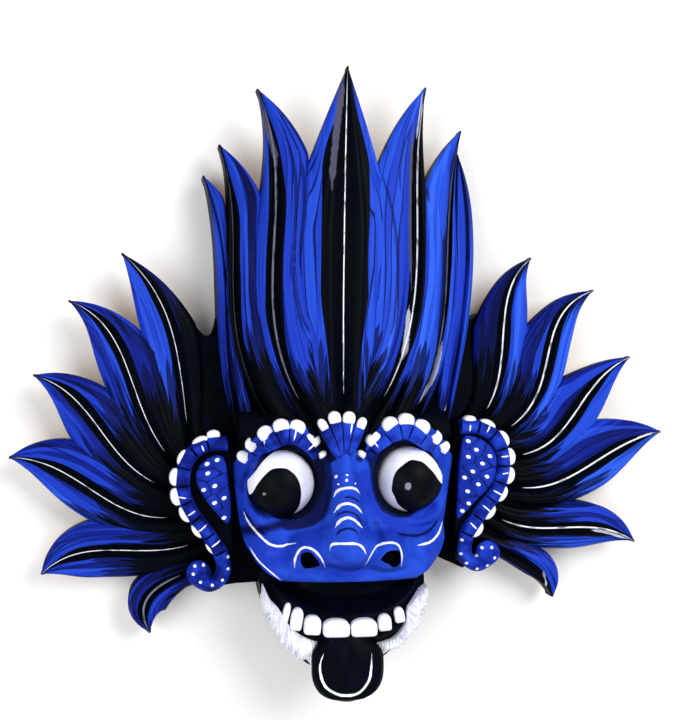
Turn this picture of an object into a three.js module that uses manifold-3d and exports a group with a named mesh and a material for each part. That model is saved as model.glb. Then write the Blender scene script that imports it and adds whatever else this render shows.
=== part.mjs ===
// A raksha mask: a demon mask carved from light wood and painted, lying on its back, face up.
// Millimetres. +X is to the right of someone who faces it, +Y runs to the crown, +Z out of the face.
// The origin is on the flat bridge of wood behind the forehead, in the plane that the mask lies on.
// Three carved pieces: the block with face, jaw and crown, and the two wings with ear and flames.
import * as THREE from "three";
import Module from "manifold-3d";

const wasm = await Module();
wasm.setup();

// Paints
const blue = 0x1f3fc4;
const deepBlue = 0x16289a;

// The head: height up the face, half width, height of the side edge, height of the middle
const faceRows = [
  [-119, 53, 66, 86],
  [-113, 62, 60, 88],
  [-105, 70, 54, 88],
  [-90, 79, 48, 86],
  [-60, 84.5, 45, 84],
  [-25, 87, 44, 86],
  [0, 83, 42, 84],
  [30, 91, 36, 76],
];
const jawRows = [
  [-198, 12, 46, 56],
  [-190, 28.5, 50, 62],
  [-176, 43.5, 54, 68],
  [-160, 55, 56, 70],
  [-140, 64, 56, 68],
  [-122, 66, 54, 66],
  [-98, 64, 50, 60],
];
const crownRows = [
  [-12, 84, 42, 84],
  [0, 84, 42, 83],
  [36, 93, 39, 80],
  [70, 99, 38, 78],
  [100, 101, 37, 76],
  [150, 105, 34, 73],
  [190, 110, 30, 69],
  [290, 114, 22, 61],
];

const eye = { x: 48.4, y: -41.5, z: 69, radius: 26.5 };
const nose = { x: -2.5, topY: -22, tipY: -95, topZ: 95, tipZ: 122, topHalf: 8.5, tipHalf: 13 };
const nostril = { x: 30.7, y: -100, z: 108, halfLength: 6.8, halfHeight: 5.8 };
const brow = { inner: 27.5, outer: 36, rise: 1.16, from: 28, to: 154 };
const browScallops = [35, 55, 74, 92, 109, 128, 148];
const tuft = { x: -4, y: -28, reach: 34, headings: [118, 100, 82, 64], halfWidths: [4, 5.4, 5.4, 4.2] };
const teeth = { widths: [19.5, 12.5, 9.5, 6], gap: 1.3, height: 17, middleX: 4.6, middleY: -161 };
const smile = 1.25e-4; // how fast the row of teeth rises to the sides, with the cube of the distance
const tongue = { x: 0.3, top: -158, end: -214, halfWidth: 28, thickness: 12 };

// The hollows in the back
const faceHollow = { top: -12, bottom: -176, wall: 15, depth: 58 };
const crownHollow = { from: 34, share: 0.84, depth: 46 };

// Flames: where the white line starts, its heading there, its tip, its heading there in degrees,
// then for the left and right side of the line the greatest width and how blunt its taper is.
const crownFlames = [
  { start: [-82, 0], heading: 104, tip: [-110, 200], tipHeading: 112, left: [7.5, 2], right: [20, 2.8] },
  { start: [-65, 17], heading: 116, tip: [-97.5, 224], tipHeading: 108, left: [4, 1.2], right: [32, 2.5] },
  { start: [-35, 17], heading: 120, tip: [-68, 267], tipHeading: 106, left: [10.5, 1.3], right: [41, 2.2] },
  { start: [-3, 21], heading: 90, tip: [3, 284.5], tipHeading: 88, left: [39.5, 1.5], right: [37, 1.5] },
  { start: [27, 19], heading: 58, tip: [68, 271.5], tipHeading: 77, left: [42, 2.2], right: [13.5, 0.9] },
  { start: [60, 15.6], heading: 52, tip: [100, 239.5], tipHeading: 81, left: [37, 2.6], right: [8, 1.5] },
  { start: [84, -4], heading: 80, tip: [102, 221], tipHeading: 92, left: [12, 2], right: [9.3, 5] },
];
const leftFlames = [
  { start: [-122.7, -0.5], heading: 97, tip: [-174.6, 137], tipHeading: 140, left: [23.5, 2.2], right: [20, 1] },
  { start: [-138.8, -23.8], heading: 128, tip: [-216.4, 99], tipHeading: 160, left: [21.5, 1.9], right: [31.5, 0.95] },
  { start: [-146, -48], heading: 155, tip: [-243.8, 40], tipHeading: 165, left: [23, 1.7], right: [29, 1.4] },
  { start: [-136.4, -74.6], heading: 184, tip: [-262.5, -25], tipHeading: 180, left: [21.5, 2], right: [33, 2] },
  { start: [-119.5, -96.6], heading: 197, tip: [-237.6, -117.5], tipHeading: 224, left: [21.5, 3], right: [24.5, 2.4] },
  {
    start: [-126.8, -121], heading: 199, tip: [-152.3, -166.5], tipHeading: 302, bend: 0.5,
    left: [17.5, 2], right: [15.5, 1.6],
  },
];
const rightFlames = [
  { start: [123.4, 9.6], heading: 57, tip: [160.2, 136.3], tipHeading: 40, left: [25, 1.1], right: [20, 2.2] },
  {
    start: [143, -4.6], heading: 33, tip: [213.6, 110], tipHeading: 20, bend: 0.45,
    left: [34.5, 0.8], right: [17, 2.8],
  },
  {
    start: [152.4, -27.2], heading: 10, tip: [245, 54.5], tipHeading: 25, bend: 0.42,
    left: [36.5, 0.85], right: [18.5, 2.1],
  },
  { start: [152.4, -54], heading: -6, tip: [272, -8], tipHeading: 10, left: [36, 1.7], right: [20.5, 1.7] },
  { start: [135.4, -79.5], heading: -27, tip: [249.3, -99.7], tipHeading: -34, left: [21.5, 2.6], right: [17.5, 1.9] },
  { start: [136, -100], heading: -5, tip: [179.5, -145], tipHeading: -85, left: [11.5, 2.4], right: [8.5, 1.1] },
];

// The relief of a flame: a V groove down its middle between two rounded lobes
const flame = { buried: 26, peak: 0.5, rootShare: 0.62, tipHalfWidth: 0.9, band: 0.3, grooveFloor: 0.12 };
const crownRelief = 8.5;
const wingRelief = 6.5;

// The wings, as the right one; the left one is its mirror image but for ear and flames
const wing = { frontZ: 25, tipLift: 7, rootReach: 75, tipReach: 160, tipThickness: 8 };
const seam = 0.35; // between a wing and the block

// Rows of facets
const faceSteps = 20;
const jawSteps = 8;
const flameSteps = 7;
const ear = { top: 57, floor: 46, edgeX: 94 };
const leftEarShift = [-5.3, -12];
const rimPath = [
  [97, -2],
  [113, -3],
  [127, -12.5],
  [132.3, -32],
  [127, -53],
  [112, -74],
  [101.5, -91],
  [101, -106],
  [110, -113.5],
  [119.5, -109.5],
  [120.5, -103],
];
const rim = { halfWidth: 6.3, scallops: 8, firstScallop: 0.035, lastScallop: 0.585 };
const lobe = [
  [97, -6],
  [110, -11],
  [122, -21],
  [125, -30.5],
  [120, -42],
  [111, -54],
  [95, -76],
];

const lerp = (a, b, t) => a + (b - a) * t;
const clamp = (v, low, high) => Math.min(high, Math.max(low, v));
const radians = (degrees) => (degrees * Math.PI) / 180;

function smoothStep(from, to, v) {
  const t = clamp((v - from) / (to - from), 0, 1);
  return t * t * (3 - 2 * t);
}

function smoothMax(a, b, reach) {
  const h = clamp(0.5 + (a - b) / (2 * reach), 0, 1);
  return lerp(b, a, h) + reach * h * (1 - h);
}

const smoothMin = (a, b, reach) => -smoothMax(-a, -b, reach);

// A smooth curve through rows of numbers, read at a parameter from 0 to 1.
function spline(points, t) {
  const last = points.length - 1;
  const at = clamp(t, 0, 1) * last;
  const i = Math.min(last - 1, Math.floor(at));
  const f = at - i;
  const [a, b, c, d] = [i - 1, i, i + 1, i + 2].map((k) => points[clamp(k, 0, last)]);
  return b.map(
    (p, k) =>
      0.5 *
      (2 * p +
        (c[k] - a[k]) * f +
        (2 * a[k] - 5 * p + 4 * c[k] - d[k]) * f * f +
        (3 * p - a[k] - 3 * c[k] + d[k]) * f * f * f),
  );
}

// One row of a table at height y, between the rows that stand in it.
function rowAt(rows, y) {
  const last = rows.length - 1;
  const i = clamp(rows.findIndex((row) => row[0] > y) - 1, 0, last - 1);
  const from = y >= rows[last][0] ? last - 1 : i;
  const share = clamp((y - rows[from][0]) / (rows[from + 1][0] - rows[from][0]), 0, 1);
  return spline(rows, (from + share) / last).slice(1);
}

const steps = (count, from = 0, to = 1) => Array.from({ length: count + 1 }, (_, i) => lerp(from, to, i / count));

// A closed solid between a front grid and a back: columns run across, rows along.
function gridSolid(across, along, front, back) {
  const n = across.length;
  const rows = along.length;
  const points = [];
  const faces = [];
  const quad = (a, b, c, d) => faces.push(a, b, c, a, c, d);
  along.forEach((v) => across.forEach((u) => points.push(...front(u, v))));
  along.forEach((v) => [across[0], across[n - 1]].forEach((u) => points.push(...back(u, v))));
  const f = (i, j) => j * n + i;
  const left = (j) => rows * n + 2 * j;
  const right = (j) => left(j) + 1;
  for (let j = 0; j + 1 < rows; j++) {
    for (let i = 0; i + 1 < n; i++) quad(f(i, j), f(i + 1, j), f(i + 1, j + 1), f(i, j + 1));
    quad(f(0, j), f(0, j + 1), left(j + 1), left(j));
    quad(f(n - 1, j + 1), f(n - 1, j), right(j), right(j + 1));
    quad(left(j), left(j + 1), right(j + 1), right(j));
  }
  const top = rows - 1;
  faces.push(left(0), right(0), f(n - 1, 0), right(top), left(top), f(0, top));
  for (let i = 0; i + 1 < n; i++) {
    faces.push(left(0), f(i + 1, 0), f(i, 0));
    faces.push(right(top), f(i, top), f(i + 1, top));
  }
  return solid(points, faces);
}

function solid(points, faces) {
  const mesh = new wasm.Mesh({
    numProp: 3,
    vertProperties: new Float32Array(points),
    triVerts: new Uint32Array(faces),
  });
  return new wasm.Manifold(mesh);
}

const union = (solids) => wasm.Manifold.union(solids);

// A strip that follows a path, with its own width to the left and right of it.
function ribbon({ path, left, right, front, back, across, along }) {
  const place = (u, v) => {
    const p = path(v);
    const ahead = path(v + 1e-3);
    const behind = path(v - 1e-3);
    const length = Math.hypot(ahead[0] - behind[0], ahead[1] - behind[1]);
    const reach = u * (u < 0 ? left(v) : right(v));
    const x = p[0] + ((ahead[1] - behind[1]) / length) * reach;
    const y = p[1] - ((ahead[0] - behind[0]) / length) * reach;
    return [x, y];
  };
  return gridSolid(
    across,
    along,
    (u, v) => {
      const [x, y] = place(u, v);
      return [x, y, front(u, v, x, y)];
    },
    (u, v) => {
      const [x, y] = place(u, v);
      return [x, y, back(x, y, v)];
    },
  );
}

// Flames

// The white line of a flame, from its buried root below 0 to its tip at 1.
function flameLine({ start, heading, tip, tipHeading, bend = 0.38 }) {
  const reach = bend * Math.hypot(tip[0] - start[0], tip[1] - start[1]);
  const out = [Math.cos(radians(heading)), Math.sin(radians(heading))];
  const end = [Math.cos(radians(tipHeading)), Math.sin(radians(tipHeading))];
  return (v) => {
    if (v < 0) return start.map((p, k) => p + out[k] * 3 * reach * v);
    const w = 1 - v;
    return start.map(
      (p, k) =>
        w * w * w * p +
        3 * w * w * v * (p + out[k] * reach) +
        3 * w * v * v * (tip[k] - end[k] * reach) +
        v * v * v * tip[k],
    );
  };
}

function flameSpread([width, taper], v) {
  const rise = Math.sin((Math.PI / 2) * clamp(v / flame.peak, 0, 1));
  const fall = clamp((v - flame.peak) / (1 - flame.peak), 0, 1) ** taper;
  return Math.max(flame.tipHalfWidth, width * lerp(flame.rootShare, 1, rise) * (1 - fall));
}

function flameRelief(u) {
  const a = Math.abs(u);
  if (a < flame.band) return lerp(flame.grooveFloor, 1, a / flame.band);
  return Math.sqrt(Math.max(0, 1 - ((a - flame.band) / (1 - flame.band)) ** 2));
}

function flameSolid(shape, relief, front, back, rows) {
  const length = Math.hypot(shape.tip[0] - shape.start[0], shape.tip[1] - shape.start[1]);
  return ribbon({
    path: flameLine(shape),
    left: (v) => flameSpread(shape.left, v),
    right: (v) => flameSpread(shape.right, v),
    front: (u, v, x, y) => front(x, y) + relief * flameRelief(u) * (1 - 0.6 * smoothStep(0.5, 1, v)),
    back,
    across: [-1, -0.8, -flame.band, 0, flame.band, 0.8, 1],
    along: [-flame.buried / length / 1.14, ...steps(rows - 1, 0.1, 1)],
  });
}

// Crown

function crownFront(x, y) {
  const [halfWidth, edge, middle] = rowAt(crownRows, y);
  return middle - (middle - edge) * Math.min(1.3, Math.abs(x) / halfWidth) ** 2.2;
}

function crownBack(x, y) {
  const [halfWidth] = rowAt(crownRows, y);
  const s = Math.abs(x) / halfWidth;
  const hollow = crownHollow.depth * smoothStep(crownHollow.from, crownHollow.from + 60, y);
  const arch = hollow * (1 - (s / crownHollow.share) ** 2.5);
  const thickest = lerp(88, 10, smoothStep(40, 255, y));
  return Math.max(-1, arch, crownFront(x, y) - thickest);
}

// What is carved away behind the crown: an arched hollow that runs out into thin flame tips.
function crownHollowSolid() {
  const place = (u, v) => [125 * u, lerp(crownHollow.from - 4, 300, v)];
  return gridSolid(
    steps(10, -1, 1),
    steps(10),
    (u, v) => [...place(u, v), crownBack(...place(u, v))],
    (u, v) => [...place(u, v), -6],
  );
}

// Head and jaw

const mound = (dx, dy, top, fall) => top - fall * (dx * dx + dy * dy);

function arched(rows, x, y) {
  const [halfWidth, edge, middle] = rowAt(rows, y);
  const s = Math.min(1, Math.abs(x) / halfWidth);
  return edge + (middle - edge) * (1 - s ** 2.6) ** 0.75;
}

function faceFront(x, y) {
  const ax = Math.abs(x);
  const nx = x - nose.x;
  const ex = ax - eye.x;
  const ey = y - eye.y;
  const fromEye = Math.hypot(ex, ey);
  let z = arched(faceRows, x, y);
  z = smoothMax(z, mound(ex / 40, (y + 2) / 16, 90, 22), 6); // brow
  z = smoothMax(z, mound((ax - 56) / 22, (y + 96) / 19, 87, 18), 6); // cheek
  z = smoothMax(z, mound(x / 62, (y + 111) / 13, 99, 18), 5); // upper lip
  const bag = 78 - 16 * ((fromEye - 34) / 8) ** 2 - 30 * smoothStep(-8, 12, ey);
  z = smoothMax(z, bag, 4);
  z = smoothMin(z, 62 + 30 * smoothStep(22, 33, fromEye), 5); // socket
  const down = clamp((nose.topY - y) / (nose.topY - nose.tipY), 0, 1);
  const over = Math.max(0, y - nose.topY);
  const under = Math.max(0, nose.tipY - y);
  const wrinkle = 1.6 * Math.cos((2 * Math.PI * (y + 47)) / 11.5) * smoothStep(-30, -40, y) * smoothStep(-82, -74, y);
  const ridge = lerp(nose.topZ, nose.tipZ, down ** 1.2) + wrinkle - 0.07 * over * over - 0.14 * under * under;
  z = smoothMax(z, ridge - 12 * (nx / lerp(nose.topHalf, nose.tipHalf, down)) ** 2, 6);
  z = smoothMax(z, mound(nx / 19, (y + 92) / 13, 123, 16), 5); // ball of the nose
  z = smoothMax(z, mound((ax - 29) / 15, (y + 97) / 14, 108, 15), 5); // nostril wing
  return z;
}

const toothLine = (x) => teeth.middleY + smile * Math.abs(x - teeth.middleX + 3) ** 3;

function jawFront(x, y) {
  const [halfWidth] = rowAt(jawRows, y);
  const s = Math.abs(x) / halfWidth;
  const lowerLip = toothLine(x) - 11;
  const inMouth = smoothStep(lowerLip - 3, lowerLip + 3, y) * (1 - smoothStep(0.8, 0.94, s));
  const gum = 56 + 18 * smoothStep(18, -2, y - toothLine(x)) - 0.004 * x * x;
  return lerp(arched(jawRows, x, y), gum, inMouth);
}

// The block between a table's first and last row, flat behind.
function blockSolid(rows, front, columns, count) {
  const low = rows[0][0];
  const high = rows[rows.length - 1][0];
  const halfWidth = (v) => rowAt(rows, lerp(low, high, v))[0];
  return ribbon({
    path: (v) => [0, lerp(low, high, v)],
    left: halfWidth,
    right: halfWidth,
    front: (u, v, x, y) => front(x, y),
    back: () => 0,
    across: steps(columns, -1, 1).map((u) => Math.sin((Math.PI / 2) * u) * 0.5 + u * 0.5),
    along: steps(count),
  });
}

// A blunt peg with a rounded plan, for scallops, petals and teeth.
function peg(centre, heading, halfLength, halfWidth, low, high, squareness = 2.4, corners = 6, turn = 0.5) {
  const points = [];
  const faces = [];
  const [c, s] = [Math.cos(radians(heading)), Math.sin(radians(heading))];
  const bend = (v) => Math.sign(v) * Math.abs(v) ** (2 / squareness);
  [
    [1, low],
    [0.78, high],
  ].forEach(([share, z]) => {
    for (let i = 0; i < corners; i++) {
      const a = (2 * Math.PI * (i + turn)) / corners;
      const along = bend(Math.cos(a)) * halfLength * share;
      const side = bend(Math.sin(a)) * halfWidth * share;
      points.push(centre[0] + c * along - s * side, centre[1] + s * along + c * side, z);
    }
  });
  for (let i = 0; i < corners; i++) {
    const next = (i + 1) % corners;
    faces.push(i, next, next + corners, i, next + corners, i + corners);
  }
  for (let i = 1; i + 1 < corners; i++) {
    faces.push(0, i + 1, i);
    faces.push(corners, corners + i, corners + i + 1);
  }
  return solid(points, faces);
}

function threeSolid(geometry) {
  const position = geometry.getAttribute("position");
  const index = geometry.index.array;
  const seen = new Map();
  const points = [];
  const merged = [];
  for (let i = 0; i < position.count; i++) {
    const p = [position.getX(i), position.getY(i), position.getZ(i)];
    const key = p.map((c) => Math.round(c * 1e3)).join();
    if (!seen.has(key)) {
      seen.set(key, points.length / 3);
      points.push(...p);
    }
    merged.push(seen.get(key));
  }
  const faces = [];
  for (let i = 0; i < index.length; i += 3) {
    const [a, b, c] = [merged[index[i]], merged[index[i + 1]], merged[index[i + 2]]];
    if (a !== b && b !== c && a !== c) faces.push(a, b, c);
  }
  return solid(points, faces);
}

function ball(x, y, z, rx, ry, rz, around = 12, up = 7) {
  const geometry = new THREE.SphereGeometry(1, around, up);
  geometry.rotateX(Math.PI / 2).scale(rx, ry, rz).translate(x, y, z);
  return threeSolid(geometry);
}

// The raised arch over an eye, with a white scallop at the end of each of its pads.
function browSolids(side) {
  const radius = (brow.inner + brow.outer) / 2;
  const round = (degrees, r) => {
    const a = radians(degrees);
    return [side * (eye.x + r * Math.cos(a)), eye.y + r * brow.rise * Math.sin(a)];
  };
  const turn = side > 0 ? [brow.to, brow.from] : [brow.from, brow.to];
  const height = (x, y) => Math.max(faceFront(x, y), crownFront(x, y)) + 2;
  const arch = ribbon({
    path: (v) => round(lerp(turn[0], turn[1], v), radius),
    left: () => (brow.outer - brow.inner) / 2,
    right: () => (brow.outer - brow.inner) / 2,
    front: (u, v, x, y) => height(x, y) + 5 * Math.sqrt(1 - 0.9 * u * u) - 2 * Math.abs(2 * v - 1) ** 3,
    back: () => 30,
    across: [-1, -0.5, 0.5, 1],
    along: steps(10),
  });
  const scallops = browScallops.map((degrees) => {
    const at = round(degrees, brow.outer + 4.3);
    const heading = side > 0 ? degrees : 180 - degrees;
    return peg(at, heading, 4.9, 5.4, 40, height(...at) + 3.5);
  });
  return [arch, ...scallops];
}

function tuftSolids() {
  return tuft.headings.map((heading, k) => {
    const out = [Math.cos(radians(heading)), Math.sin(radians(heading))];
    const middle = [tuft.x + out[0] * tuft.reach * 0.62, tuft.y + out[1] * tuft.reach * 0.62];
    return peg(middle, heading, tuft.reach * 0.43, tuft.halfWidths[k] + 0.6, 60, 97, 3);
  });
}

function toothSolids() {
  return [-1, 1].flatMap((side) => {
    let x = teeth.middleX + (side * teeth.gap) / 2;
    return teeth.widths.map((width, k) => {
      const centre = x + (side * width) / 2;
      x += side * (width + teeth.gap);
      const top = 87 - 0.007 * centre * centre;
      const height = teeth.height - 1.2 * k;
      const tilt = (Math.atan((toothLine(centre + 1) - toothLine(centre - 1)) / 2) * 180) / Math.PI;
      return peg([centre, toothLine(centre)], tilt + 90, height / 2, width / 2 + 0.4, 50, top, 4, 6, 0);
    });
  });
}

function tongueSolid() {
  const length = tongue.top - tongue.end;
  const roundFrom = 1 - tongue.halfWidth / length;
  const halfWidth = (v) => {
    const t = clamp((v - roundFrom) / (1 - roundFrom), 0, 1);
    return tongue.halfWidth * Math.max(0.25, (1 - t ** 2.6) ** (1 / 2.6));
  };
  const middle = (v) => 76 + 13 * Math.sin(Math.PI * (0.12 + 0.72 * v));
  return ribbon({
    path: (v) => [tongue.x, lerp(tongue.top, tongue.end, v)],
    left: halfWidth,
    right: halfWidth,
    front: (u, v) => middle(v) - 4 * u * u,
    back: (x, y, v) => middle(v) - tongue.thickness - (v < 0.35 ? 20 : 0),
    across: [-1, -0.7, 0, 0.7, 1],
    along: [0, 0.25, 0.5, 0.7, 0.85, 0.95, 1],
  });
}

// The white beard: locks that run from the corners of the mouth round the jaw.
function beardSolids() {
  const locks = [
    { start: [-58, -136], heading: 100, tip: [-61, -117], tipHeading: 80, left: [4, 2], right: [5, 2] },
    { start: [-56, -136], heading: 266, tip: [-46, -176], tipHeading: 296, left: [7, 2], right: [8, 2] },
    { start: [-46, -154], heading: 280, tip: [-34, -188], tipHeading: 290, left: [8, 2], right: [7, 2] },
  ];
  const mirrored = (lock) => ({
    start: [-lock.start[0], lock.start[1]],
    heading: 180 - lock.heading,
    tip: [-lock.tip[0], lock.tip[1]],
    tipHeading: 180 - lock.tipHeading,
    left: lock.right,
    right: lock.left,
  });
  return [...locks, ...locks.map(mirrored)].map((lock) =>
    ribbon({
      path: flameLine(lock),
      left: (v) => flameSpread(lock.left, v),
      right: (v) => flameSpread(lock.right, v),
      front: (u, v) => 69 + 5 * (1 - u * u) - 5 * v * v,
      back: () => 48,
      across: [-1, 0, 1],
      along: steps(3),
    }),
  );
}

function faceHollowSolid() {
  const length = faceHollow.top - faceHollow.bottom;
  const row = (v) => lerp(faceHollow.bottom, faceHollow.top, v);
  const halfWidth = (v) => {
    const y = row(v);
    const [wide] = rowAt(y > -122 ? faceRows : jawRows, y);
    const ends = Math.min(1, Math.min(v, 1 - v) * length / 40);
    return Math.max(8, (wide - faceHollow.wall) * Math.sqrt(Math.max(0.1, 1 - (1 - ends) ** 2)));
  };
  const depth = (v) => faceHollow.depth * Math.sin(Math.PI * clamp(v, 0, 1)) ** 0.5;
  return gridSolid(
    [-1, -0.9, -0.6, 0, 0.6, 0.9, 1],
    steps(8),
    (u, v) => [u * halfWidth(v), row(v), Math.max(1, depth(v) * Math.sqrt(Math.max(0, 1 - Math.abs(u) ** 3)))],
    (u, v) => [u * halfWidth(v), row(v), -5],
  );
}

function nostrilSolids() {
  return [-1, 1].map((side) => ball(side * nostril.x, nostril.y, nostril.z, nostril.halfLength, nostril.halfHeight, 9, 8, 6));
}

function crownSolid() {
  return union(crownFlames.map((shape) => flameSolid(shape, crownRelief, crownFront, () => 0, flameSteps)));
}

function blockPiece() {
  const upper = blockSolid(faceRows, faceFront, 14, faceSteps);
  const jaw = blockSolid(jawRows, jawFront, 8, jawSteps);
  const eyes = [-1, 1].map((side) => ball(side * eye.x, eye.y, eye.z, eye.radius, eye.radius, eye.radius));
  const carved = union([
    upper,
    jaw,
    crownSolid(),
    ...eyes,
    ...browSolids(-1),
    ...browSolids(1),
    ...tuftSolids(),
    ...toothSolids(),
    tongueSolid(),
    ...beardSolids(),
  ]);
  return carved.subtract(union([faceHollowSolid(), crownHollowSolid(), ...nostrilSolids()]));
}

// Wings

const earCentre = (side) => (side > 0 ? [110, -50] : [-104.7, -62]);

function wingFront(side) {
  const centre = earCentre(side);
  return (x, y) => wing.frontZ + wing.tipLift * smoothStep(80, 170, Math.hypot(x - centre[0], y - centre[1]));
}

function wingBack(side) {
  const centre = earCentre(side);
  const front = wingFront(side);
  return (x, y) => {
    const r = Math.hypot(x - centre[0], y - centre[1]);
    const thickness = lerp(wing.frontZ, wing.tipThickness, smoothStep(wing.rootReach, wing.tipReach, r));
    return Math.max(0, front(x, y) - thickness);
  };
}

function earPoint(side, [x, y]) {
  return side > 0 ? [x, y] : [-(x + leftEarShift[0]), y + leftEarShift[1]];
}

function earSolids(side) {
  const front = wing.frontZ;
  const path = (v) => earPoint(side, spline(rimPath, v));
  const way = side > 0 ? (v) => path(v) : (v) => path(1 - v);
  const along = (v) => (side > 0 ? v : 1 - v);
  const curl = (v) => smoothStep(0.6, 0.72, along(v));
  const halfWidth = (v) => rim.halfWidth + 1.2 * smoothStep(0.86, 1, along(v));
  const roll = ribbon({
    path: way,
    left: halfWidth,
    right: halfWidth,
    front: (u, v) => ear.top - 6 * u * u - 2 * curl(v),
    back: () => 0,
    across: [-1, -0.6, 0.6, 1],
    along: steps(18),
  });
  const knobAt = earPoint(side, [119.5, -104.5]);
  const knob = peg(knobAt, 0, 10, 10, 0, ear.top - 1, 2, 10);
  const scallops = steps(rim.scallops - 1, rim.firstScallop, rim.lastScallop).map((v) => {
    const [p, q] = [spline(rimPath, v), spline(rimPath, v + 0.01)];
    const length = Math.hypot(q[0] - p[0], q[1] - p[1]);
    const out = [-(q[1] - p[1]) / length, (q[0] - p[0]) / length];
    const at = earPoint(side, [p[0] + out[0] * 7.6, p[1] + out[1] * 7.6]);
    const heading = (Math.atan2(out[1], side * out[0]) * 180) / Math.PI;
    return peg(at, heading, 4.6, 6.8, 8, ear.top - 3);
  });
  const lobeBase = lobe.map((p) => earPoint(side, p));
  const floor = prism([[93.4, 2], ...rimPath.slice(0, 7), [93.4, -92]].map((p) => earPoint(side, p)), 0, ear.floor);
  return [roll, knob, ...scallops, floor, dome(lobeBase, ear.floor - 4, ear.top - 5, ear.top + 1)];
}

// A prism on a plan outline, either way round.
function prism(outline, low, high) {
  const shape = new THREE.Shape(outline.map(([x, y]) => new THREE.Vector2(x, y)));
  const geometry = new THREE.ExtrudeGeometry(shape, { depth: high - low, bevelEnabled: false, steps: 1 });
  geometry.translate(0, 0, low);
  const position = geometry.getAttribute("position");
  geometry.setIndex(Array.from({ length: position.count }, (_, i) => i));
  return threeSolid(geometry);
}

// A prism whose top rises to a ridge inside its outline.
function dome(outline, low, shoulder, high) {
  const middle = outline.reduce((sum, p) => [sum[0] + p[0] / outline.length, sum[1] + p[1] / outline.length], [0, 0]);
  const turned = THREE.ShapeUtils.isClockWise(outline.map(([x, y]) => new THREE.Vector2(x, y)))
    ? [...outline].reverse()
    : outline;
  const n = turned.length;
  const points = [];
  const faces = [];
  [
    [1, low],
    [1, shoulder],
    [0.45, high],
  ].forEach(([share, z]) =>
    turned.forEach((p) => points.push(lerp(middle[0], p[0], share), lerp(middle[1], p[1], share), z)),
  );
  for (let r = 0; r < 2; r++) {
    for (let i = 0; i < n; i++) {
      const [a, b] = [r * n + i, r * n + ((i + 1) % n)];
      faces.push(a, b, b + n, a, b + n, a + n);
    }
  }
  for (let i = 1; i + 1 < n; i++) {
    faces.push(0, i + 1, i);
    faces.push(2 * n, 2 * n + i, 2 * n + i + 1);
  }
  return solid(points, faces);
}

// The board between the ear, the flames and the side of the block.
function boardSolid(side) {
  const right = [
    [60, 84],
    [108, 86],
    [114, 80],
    [126, 56],
    [148, 20],
    [156, -60],
    [138, -100],
    [122, -112],
    [104, -120],
    [60, -100],
  ];
  const left = [
    [-60, 84],
    [-99, 84],
    [-103, 72],
    [-112, 74],
    [-124, 50],
    [-142, 10],
    [-144, -90],
    [-126, -126],
    [-108, -132.5],
    [-84, -129],
    [-60, -128],
  ];
  return prism(side > 0 ? right : left, 0, wing.frontZ - 1);
}

// What the wing is cut back from: the sides of the block, wider by the seam.
function blockSides() {
  const slab = (rows, count) => {
    const ys = steps(count, rows[0][0], rows[rows.length - 1][0]);
    const half = (y) => rowAt(rows, y)[0] + seam;
    return prism([...ys.map((y) => [half(y), y]), ...ys.reverse().map((y) => [-half(y), y])], -1, 200);
  };
  const wider = ([width, taper]) => [width + 1.6 * seam, taper];
  const flames = crownFlames.map((shape) => ({ ...shape, left: wider(shape.left), right: wider(shape.right) }));
  return union([
    slab(faceRows, faceSteps),
    slab(jawRows, jawSteps),
    ...flames.map((shape) => flameSolid(shape, crownRelief, () => 200, () => -1, flameSteps)),
  ]);
}

function wingPiece(side) {
  const flames = side > 0 ? rightFlames : leftFlames;
  return union([
    boardSolid(side),
    ...flames.map((shape) => flameSolid(shape, wingRelief, wingFront(side), wingBack(side), flameSteps)),
    ...earSolids(side),
  ]).subtract(blockSides());
}

function meshOf(name, made, colour) {
  const biggest = made.decompose().sort((a, b) => b.volume() - a.volume())[0];
  const mesh = biggest.getMesh();
  const geometry = new THREE.BufferGeometry();
  geometry.setAttribute("position", new THREE.BufferAttribute(mesh.vertProperties, 3));
  geometry.setIndex(new THREE.BufferAttribute(mesh.triVerts, 1));
  const material = new THREE.MeshStandardMaterial({ color: colour, roughness: 0.35, metalness: 0 });
  const made3 = new THREE.Mesh(geometry, material);
  made3.name = name;
  return made3;
}

const mask = new THREE.Group();
mask.add(meshOf("face_and_crown", blockPiece(), blue));
mask.add(meshOf("left_wing", wingPiece(-1), deepBlue));
mask.add(meshOf("right_wing", wingPiece(1), deepBlue));

export default mask;
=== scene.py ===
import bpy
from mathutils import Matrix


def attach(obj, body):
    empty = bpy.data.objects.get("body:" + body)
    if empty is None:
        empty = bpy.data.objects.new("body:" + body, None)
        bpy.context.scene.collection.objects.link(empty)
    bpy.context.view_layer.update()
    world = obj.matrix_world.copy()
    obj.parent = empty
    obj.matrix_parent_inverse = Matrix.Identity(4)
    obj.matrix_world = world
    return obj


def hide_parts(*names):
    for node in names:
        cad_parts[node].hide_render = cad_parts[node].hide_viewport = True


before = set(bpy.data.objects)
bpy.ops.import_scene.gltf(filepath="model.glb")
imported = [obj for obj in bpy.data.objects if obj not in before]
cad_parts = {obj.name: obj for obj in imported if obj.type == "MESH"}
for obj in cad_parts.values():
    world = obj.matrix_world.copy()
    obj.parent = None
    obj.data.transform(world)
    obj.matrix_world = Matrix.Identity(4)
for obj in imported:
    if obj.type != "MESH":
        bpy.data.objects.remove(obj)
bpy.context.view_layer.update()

# A raksha mask, carved from light wood and painted with gloss enamel, lying on its back, face up.
# Every shape is worked out in millimetres in the frame's axes, and turned to metres when it is done:
# +X is to the right of someone who faces the mask, +Y runs to the crown, +Z out of the face.
import math
from functools import partial
import bmesh
import bpy
import numpy as np
from mathutils import Matrix, Vector

millimetre = 0.001

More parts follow.
